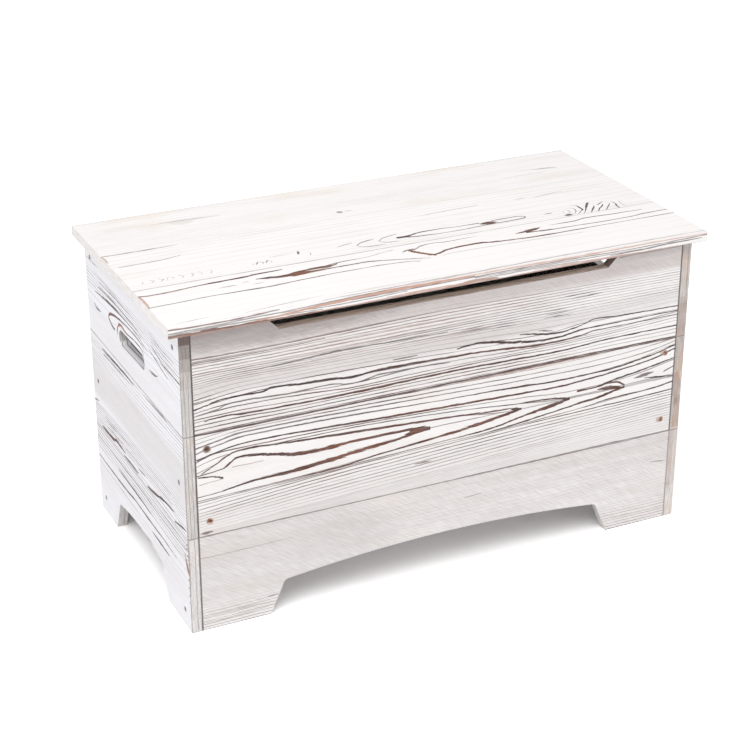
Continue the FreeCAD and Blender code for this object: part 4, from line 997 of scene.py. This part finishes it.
RIGHT_MIDDLE_END = [
    ({56: -10, 74: -9, 94: -10}, (3.4, 5.5, 3.4), 1.1, 0.42),
    Spot((46, -8), (7, 3.6), 1.1, 0.55),
    ({4: -7, 56: -6}, 5, 1.1, 0.36),
    ({94: -5, 148: -4}, 3.6, 1.1, 0.26),
    ({96: -12, 148: -12}, 1.8, 0.4, 0.25),
]
RIGHT_BOTTOM_END = [
    ({52: -11, 100: -10.5, 143: -11}, (2.6, 3.4, 3.8), 1.2, 0.3),
    ({50: -3, 142: -3}, 1.2, 1.6, 0.2),
]

# The faces that the photograph shows: the axes that s, t and depth run along, the place of their own zero,
# the length, and which way they face.
FRONT = ("XZY", (BODY_LEFT, 0, BODY_FRONT), BODY_WIDTH, -1)
LID = ("XYZ", (LID_LEFT, LID_FRONT, BODY_TOP), LID_WIDTH, 1)
SIDE = ("YZX", (BODY_FRONT, 0, BODY_LEFT), BODY_DEPTH, -1)


# Between which places the front turns into its far end, and between which heights into the strip at its top.
FAR_END = (430, 640)
TOP_STRIP = (395, 415)


def pictured(name, face, seed, lines, marks, options):
    """A board whose outer face the photograph shows: its own marks there, plain rings elsewhere.

    More options are half, the half width of the rings; plain, how dark the plain ones are; rings or
    ring_dark, how dark those on the face are, by height or everywhere; shade, how much thicker the
    wash is by height; far_rings and far_white, how much fainter and whiter they are at the far end;
    and edge, the marks on the front edge.
    """
    axes, origin, length, outward = face
    wood = Wood(name, axes, origin, seed)
    plain_dark, plain_brown = wood.log_rings(aside=seed % 30 - 15, far=-35, tilt=0.02, spacing=4, half=0.6,
                                             most=options.get("plain", 0.7))
    mark_dark, mark_brown = wood.marks(marks)
    most = wood.by_height(options["rings"]) if "rings" in options else options["ring_dark"]
    far = wood.s.step(*FAR_END)
    if "far_rings" in options:
        most = most * (1 - far * options["far_rings"])
    ring_dark, ring_brown = wood.guided_rings(length, lines, options.get("half", 0.65), most)
    dark, brown = over(ring_dark, ring_brown, mark_dark, mark_brown)
    outside = wood.facing(2, outward)
    groove = plain_dark + (ring_dark - plain_dark) * outside
    dark = plain_dark + (dark - plain_dark) * outside
    brown = plain_brown + (brown - plain_brown) * outside
    if "edge" in options:
        edge_dark, edge_brown = wood.marks(options["edge"], across=wood.depth)
        edge = wood.facing(1, -1)
        dark = dark + (edge_dark - dark) * edge
        brown = brown + (edge_brown - brown) * edge
    shade = None
    if "shade" in options:
        lifted = {t: value + 0.5 for t, value in options["shade"].items()}
        shade = (wood.by_height(lifted) - 0.5) * outside
        shade = shade + far * (1 - wood.t.step(*TOP_STRIP)) * options.get("far_white", 0)
    return finish_wood(wood, dark, brown, groove, options, shade)


def assign(name, material):
    """Give a CAD piece its material."""
    piece = frame["nodes"][name]
    piece.data.materials.clear()
    piece.data.materials.append(material)
    for face in piece.data.polygons:
        face.material_index = 0


# Each board's face, seed, guide lines, marks and options.
PICTURED = {
    "front_top_board": (FRONT, 3, TOP_LINES, TOP_STROKES_AND_SHADE, dict(
        cover=0.62, warm=0.1, tan=0.3, burn=0.95, seam=0.9, saw=0.5, half=0.72, cut=439.4,
        far_rings=0.35, far_white=0.25,
        rings={294: 0.95, 345: 0.9, 351: 0.3, 362: 0.35, 370: 0.7, 400: 0.7, 407: 0.25, 440: 0.1},
        shade={294: 0, 300: 0.15, 340: 0.15, 350: -0.25, 362: -0.25, 372: 0.05, 398: 0.1, 406: -0.45,
               440: -0.5})),
    "front_middle_board": (FRONT, 7, MIDDLE_LINES, MIDDLE_STROKES, dict(
        cover=0.78, warm=0.15, tan=0.3, burn=0.7, seam=0.9, half=0.7, far_rings=0.25, far_white=0.1,
        rings={144: 0.15, 158: 0.25, 172: 0.5, 188: 0.75, 204: 0.95, 294: 1},
        shade={144: -0.15, 180: -0.05, 220: 0.1, 250: 0.1, 275: 0.1, 294: 0})),
    "front_bottom_board": (FRONT, 11, BOTTOM_LINES, BOTTOM_STROKES, dict(
        cover=0.53, warm=0.15, tan=0.1, burn=0.5, half=0.4, seam=0.8, saw=0.85, end_white=0.4, fading=0.5,
        rings={-4: 0.8, 25: 0.6, 50: 0.15, 110: 0.15, 144: 0.2},
        shade={0: 0.15, 50: 0.12, 100: 0, 144: -0.05})),
    "lid_front_board": (LID, 17, LID_FRONT_LINES, LID_FRONT_STROKES, dict(
        cover=1.05, warm=0.1, tan=0.05, burn=0.2, ring_dark=0.14, half=0.5, plain=0.2, end_white=0.55,
        edge=LID_EDGE_STROKES)),
    "lid_middle_board": (LID, 23, LID_MIDDLE_LINES, LID_MIDDLE_STROKES, dict(
        cover=0.98, warm=0.15, tan=0.15, burn=0.2, ring_dark=0.3, half=0.4, plain=0.2, end_white=0.5)),
    "lid_back_board": (LID, 29, LID_BACK_LINES, LID_BACK_STROKES, dict(
        cover=0.95, warm=0.4, tan=0.15, burn=0.2, ring_dark=0.18, half=0.4, plain=0.2, end_white=0.5)),
    "left_top_board": (SIDE, 37, SIDE_TOP_LINES, SIDE_TOP_STROKES, dict(
        cover=0.95, warm=0, tan=0, burn=0.6, wash=COOL_WASH, ends=LEFT_TOP_END_AND_SHADE, half=0.5,
        rings={296: 0.2, 335: 0.12, 350: 0.3, 375: 0.65, 398: 0.45, 442: 0.15},
        shade={294: -0.1, 335: -0.1, 352: 0.05, 380: 0.1, 442: 0})),
    "left_middle_board": (SIDE, 41, SIDE_MIDDLE_LINES, SIDE_MIDDLE_STROKES, dict(
        cover=0.88, warm=0, tan=0, burn=0.6, wash=COOL_WASH, ends=LEFT_MIDDLE_END, half=0.5,
        rings={142: 0.8, 175: 0.75, 196: 0.35, 205: 0, 252: 0, 262: 0.55, 297: 0.7},
        shade={144: 0.1, 190: 0, 205: -0.3, 250: -0.3, 262: 0, 294: 0.1})),
    "left_bottom_board": (SIDE, 43, SIDE_BOTTOM_LINES, SIDE_BOTTOM_STROKES, dict(
        cover=0.85, warm=0, tan=0.05, burn=0.6, wash=COOL_WASH, ends=LEFT_BOTTOM_END, half=0.55,
        end_white=0.3, rings={-2: 0.05, 70: 0.2, 95: 0.5, 112: 0.8, 146: 0.7})),
}
for board, values in PICTURED.items():
    assign(board, pictured(board, *values))

# What the right side's front ends show, with their marks by height above the board's foot.
RIGHT_ENDS = {
    "right_top_board": dict(tan=0.45, end_white=0, ends=RIGHT_TOP_END),
    "right_middle_board": dict(tan=0.8, end_white=0, ends=RIGHT_MIDDLE_END),
    "right_bottom_board": dict(tan=0.8, end_white=0.25, ends=RIGHT_BOTTOM_END),
}

# Boards that the photograph doesn't show: axes, the place of their own zero, seed, cover and ring_dark.
PLAIN = {
    "back_top_board": ("XZY", (BODY_LEFT, HIGH_SEAM, 0), 53, 0.68, 0.95),
    "back_middle_board": ("XZY", (BODY_LEFT, LOW_SEAM, 0), 59, 0.78, 1),
    "back_bottom_board": ("XZY", (BODY_LEFT, 0, 0), 61, 0.6, 0.5),
    "right_top_board": ("YZX", (BODY_FRONT, HIGH_SEAM, BODY_RIGHT), 67, 0.82, 0.8),
    "right_middle_board": ("YZX", (BODY_FRONT, LOW_SEAM, BODY_RIGHT), 71, 0.82, 0.9),
    "right_bottom_board": ("YZX", (BODY_FRONT, 0, BODY_RIGHT), 73, 0.8, 0.6),
    "front_left_post": ("ZXY", (0, -368, -180), 79, 0.75, 0.6),
    "front_right_post": ("ZXY", (0, 334, -180), 83, 0.75, 0.6),
    "back_left_post": ("ZXY", (0, -368, 180), 89, 0.75, 0.6),
    "back_right_post": ("ZXY", (0, 334, 180), 97, 0.75, 0.6),
    "front_ledger": ("XZY", (BODY_LEFT, 70, -180), 101, 0.75, 0.4),
    "back_ledger": ("XZY", (BODY_LEFT, 70, 180), 103, 0.75, 0.4),
    "left_ledger": ("YZX", (BODY_FRONT, 70, -360), 107, 0.75, 0.4),
    "right_ledger": ("YZX", (BODY_FRONT, 70, 360), 109, 0.75, 0.4),
    "floor_bearer": ("YZX", (BODY_FRONT, 70, 0), 113, 0.75, 0.4),
    "floor_front_board": ("XYZ", (BODY_LEFT, -178, 100), 127, 0.8, 0.7),
    "floor_middle_board": ("XYZ", (BODY_LEFT, -58, 100), 131, 0.8, 0.7),
    "floor_back_board": ("XYZ", (BODY_LEFT, 62, 100), 137, 0.8, 0.7),
    "lid_left_batten": ("YXZ", (BODY_FRONT, -233, 430), 139, 0.8, 0.6),
    "lid_right_batten": ("YXZ", (BODY_FRONT, 188, 430), 149, 0.8, 0.6),
}
for board, (axes, origin, seed, cover, ring_dark) in PLAIN.items():
    options = dict(cover=cover, warm=0.2, tan=0.3, burn=0.6) | RIGHT_ENDS.get(board, {})
    assign(board, plain_board(Wood(board, axes, origin, seed), ring_dark, options))


def metal(name, light, dark, roughness, metallic):
    """Worn metal: a fine brushed grain with duller patches."""
    material, graph = material_graph(name)
    x, y, z = [part / MM for part in graph.coordinates("Object")]
    patch = graph.noise(x * 0.12, y * 0.12, z * 0.12, detail=3)
    brushed = graph.noise(x * 0.3, y * 4, z * 4)
    worn = (patch.step(0.35, 0.7) * 0.7 + brushed * 0.3).clamp()
    colour = graph.mix(light, dark, worn)
    wire_shader(graph, colour, roughness + patch * 0.25, brushed * 0.05, relief=0.3, metallic=metallic)
    return material


zinc = metal("zinc", srgb(205, 205, 203), srgb(150, 150, 150), roughness=0.28, metallic=1)
dull_screw = metal("dull_screw", srgb(150, 112, 92), srgb(92, 66, 56), roughness=0.5, metallic=0.4)


def washed_screws(name, axis, side, light, dark, stained=None):
    """Screw heads under thin wash, with painted shade in their cross recesses; side 0 is the low side of the
    axis.

    The screw beyond the stained x and z is a dark one.
    """
    material, graph = material_graph(name)
    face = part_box(name)[side]["XYZ".index(axis)] / MM
    x, y, z = [part / MM for part in graph.coordinates("Object")]
    depth = abs({"X": x, "Y": y}[axis] - face)
    patch = graph.noise(x * 0.35, y * 0.35, z * 0.35, detail=3)
    colour = graph.mix(light, dark, patch.step(0.35, 0.65))
    if stained:
        near = (stained[0] - x).step(0, 1) * (z - stained[1]).step(0, 1)
        colour = graph.mix(colour, SCREW_STAIN, near * 0.85)
    # Painted shade: the cross recess, deeper than the head's face, is darkened.
    colour = graph.mix(colour, SCREW_RECESS_SHADE, depth.step(0.15, 0.5))
    wire_shader(graph, colour, 0.45 + patch * 0.2, patch * 0.1, relief=0.4)
    assign(name, material)


for name in frame["nodes"]:
    if name.endswith("screws"):
        assign(name, dull_screw)
    elif "hinge" in name or "stay" in name:
        assign(name, zinc)
washed_screws("front_screws", "Y", 0, srgb(216, 180, 160), srgb(132, 78, 56), (-300, 250))
washed_screws("back_screws", "Y", 1, srgb(176, 170, 168), srgb(92, 84, 82))
washed_screws("left_side_screws", "X", 0, srgb(176, 172, 174), srgb(84, 78, 80))
washed_screws("right_side_screws", "X", 1, srgb(176, 172, 170), srgb(92, 84, 82))


def seen_rays(graph):
    """One for the rays that show the background: the camera's, and those of gloss and glass."""
    rays = graph.node("ShaderNodeLightPath")
    seen = Field(graph, rays.outputs["Is Camera Ray"])
    for name in ("Is Glossy Ray", "Is Transmission Ray"):
        seen = seen.most(Field(graph, rays.outputs[name]))
    return seen


def floor():
    """A white floor that keeps the soft shadow; what is seen of it is lifted to white."""
    mesh = bpy.data.meshes.new("floor")
    reach = 30
    mesh.from_pydata([(-reach, -reach, 0), (reach, -reach, 0), (reach, reach, 0), (-reach, reach, 0)],
                     [], [(0, 1, 2, 3)])
    piece = bpy.data.objects.new("floor", mesh)
    bpy.context.scene.collection.objects.link(piece)
    material, graph = material_graph("floor")
    true_grey = 0.95
    seen_grey = 1.43
    diffuse = graph.node("ShaderNodeBsdfDiffuse")
    graph.feed(diffuse.inputs["Color"], seen_rays(graph) * (seen_grey - true_grey) + true_grey)
    output = graph.node("ShaderNodeOutputMaterial")
    graph.tree.links.new(diffuse.outputs[0], output.inputs["Surface"])
    mesh.materials.append(material)


def world():
    """An even pale sky that is seen white."""
    scene = bpy.context.scene
    scene.world = bpy.data.worlds.new("studio")
    scene.world.use_nodes = True
    graph = Graph(scene.world.node_tree)
    sky = 0.7
    background = graph.node("ShaderNodeBackground")
    background.inputs["Color"].default_value = (1, 1, 1, 1)
    graph.feed(background.inputs["Strength"], seen_rays(graph) * (1 - sky) + sky)
    output = graph.node("ShaderNodeOutputWorld")
    graph.tree.links.new(background.outputs[0], output.inputs["Surface"])


def lamp(name, place, target, size, power):
    """A soft square lamp that shines at the target."""
    data = bpy.data.lights.new(name, "AREA")
    data.shape = "SQUARE"
    data.size = size
    data.energy = power
    item = bpy.data.objects.new(name, data)
    item.location = place
    item.rotation_euler = (Vector(target) - Vector(place)).to_track_quat("-Z", "Y").to_euler()
    bpy.context.scene.collection.objects.link(item)


floor()
world()
lamp("key", place=(-1.8, -2.15, 3.95), target=(0, 0, 0.2), size=3, power=107)

camera_data = bpy.data.cameras.new("camera")
camera_data.lens = LENS
camera_data.sensor_width = SENSOR
camera = bpy.data.objects.new("camera", camera_data)
camera.location = CAMERA_PLACE
level = math.cos(CAMERA_ELEVATION)
forward = Vector((-math.sin(CAMERA_AZIMUTH) * level, math.cos(CAMERA_AZIMUTH) * level,
                  -math.sin(CAMERA_ELEVATION)))
camera.rotation_euler = forward.to_track_quat("-Z", "Y").to_euler()
bpy.context.scene.collection.objects.link(camera)
bpy.context.scene.camera = camera
bpy.context.scene.view_settings.view_transform = "Standard"
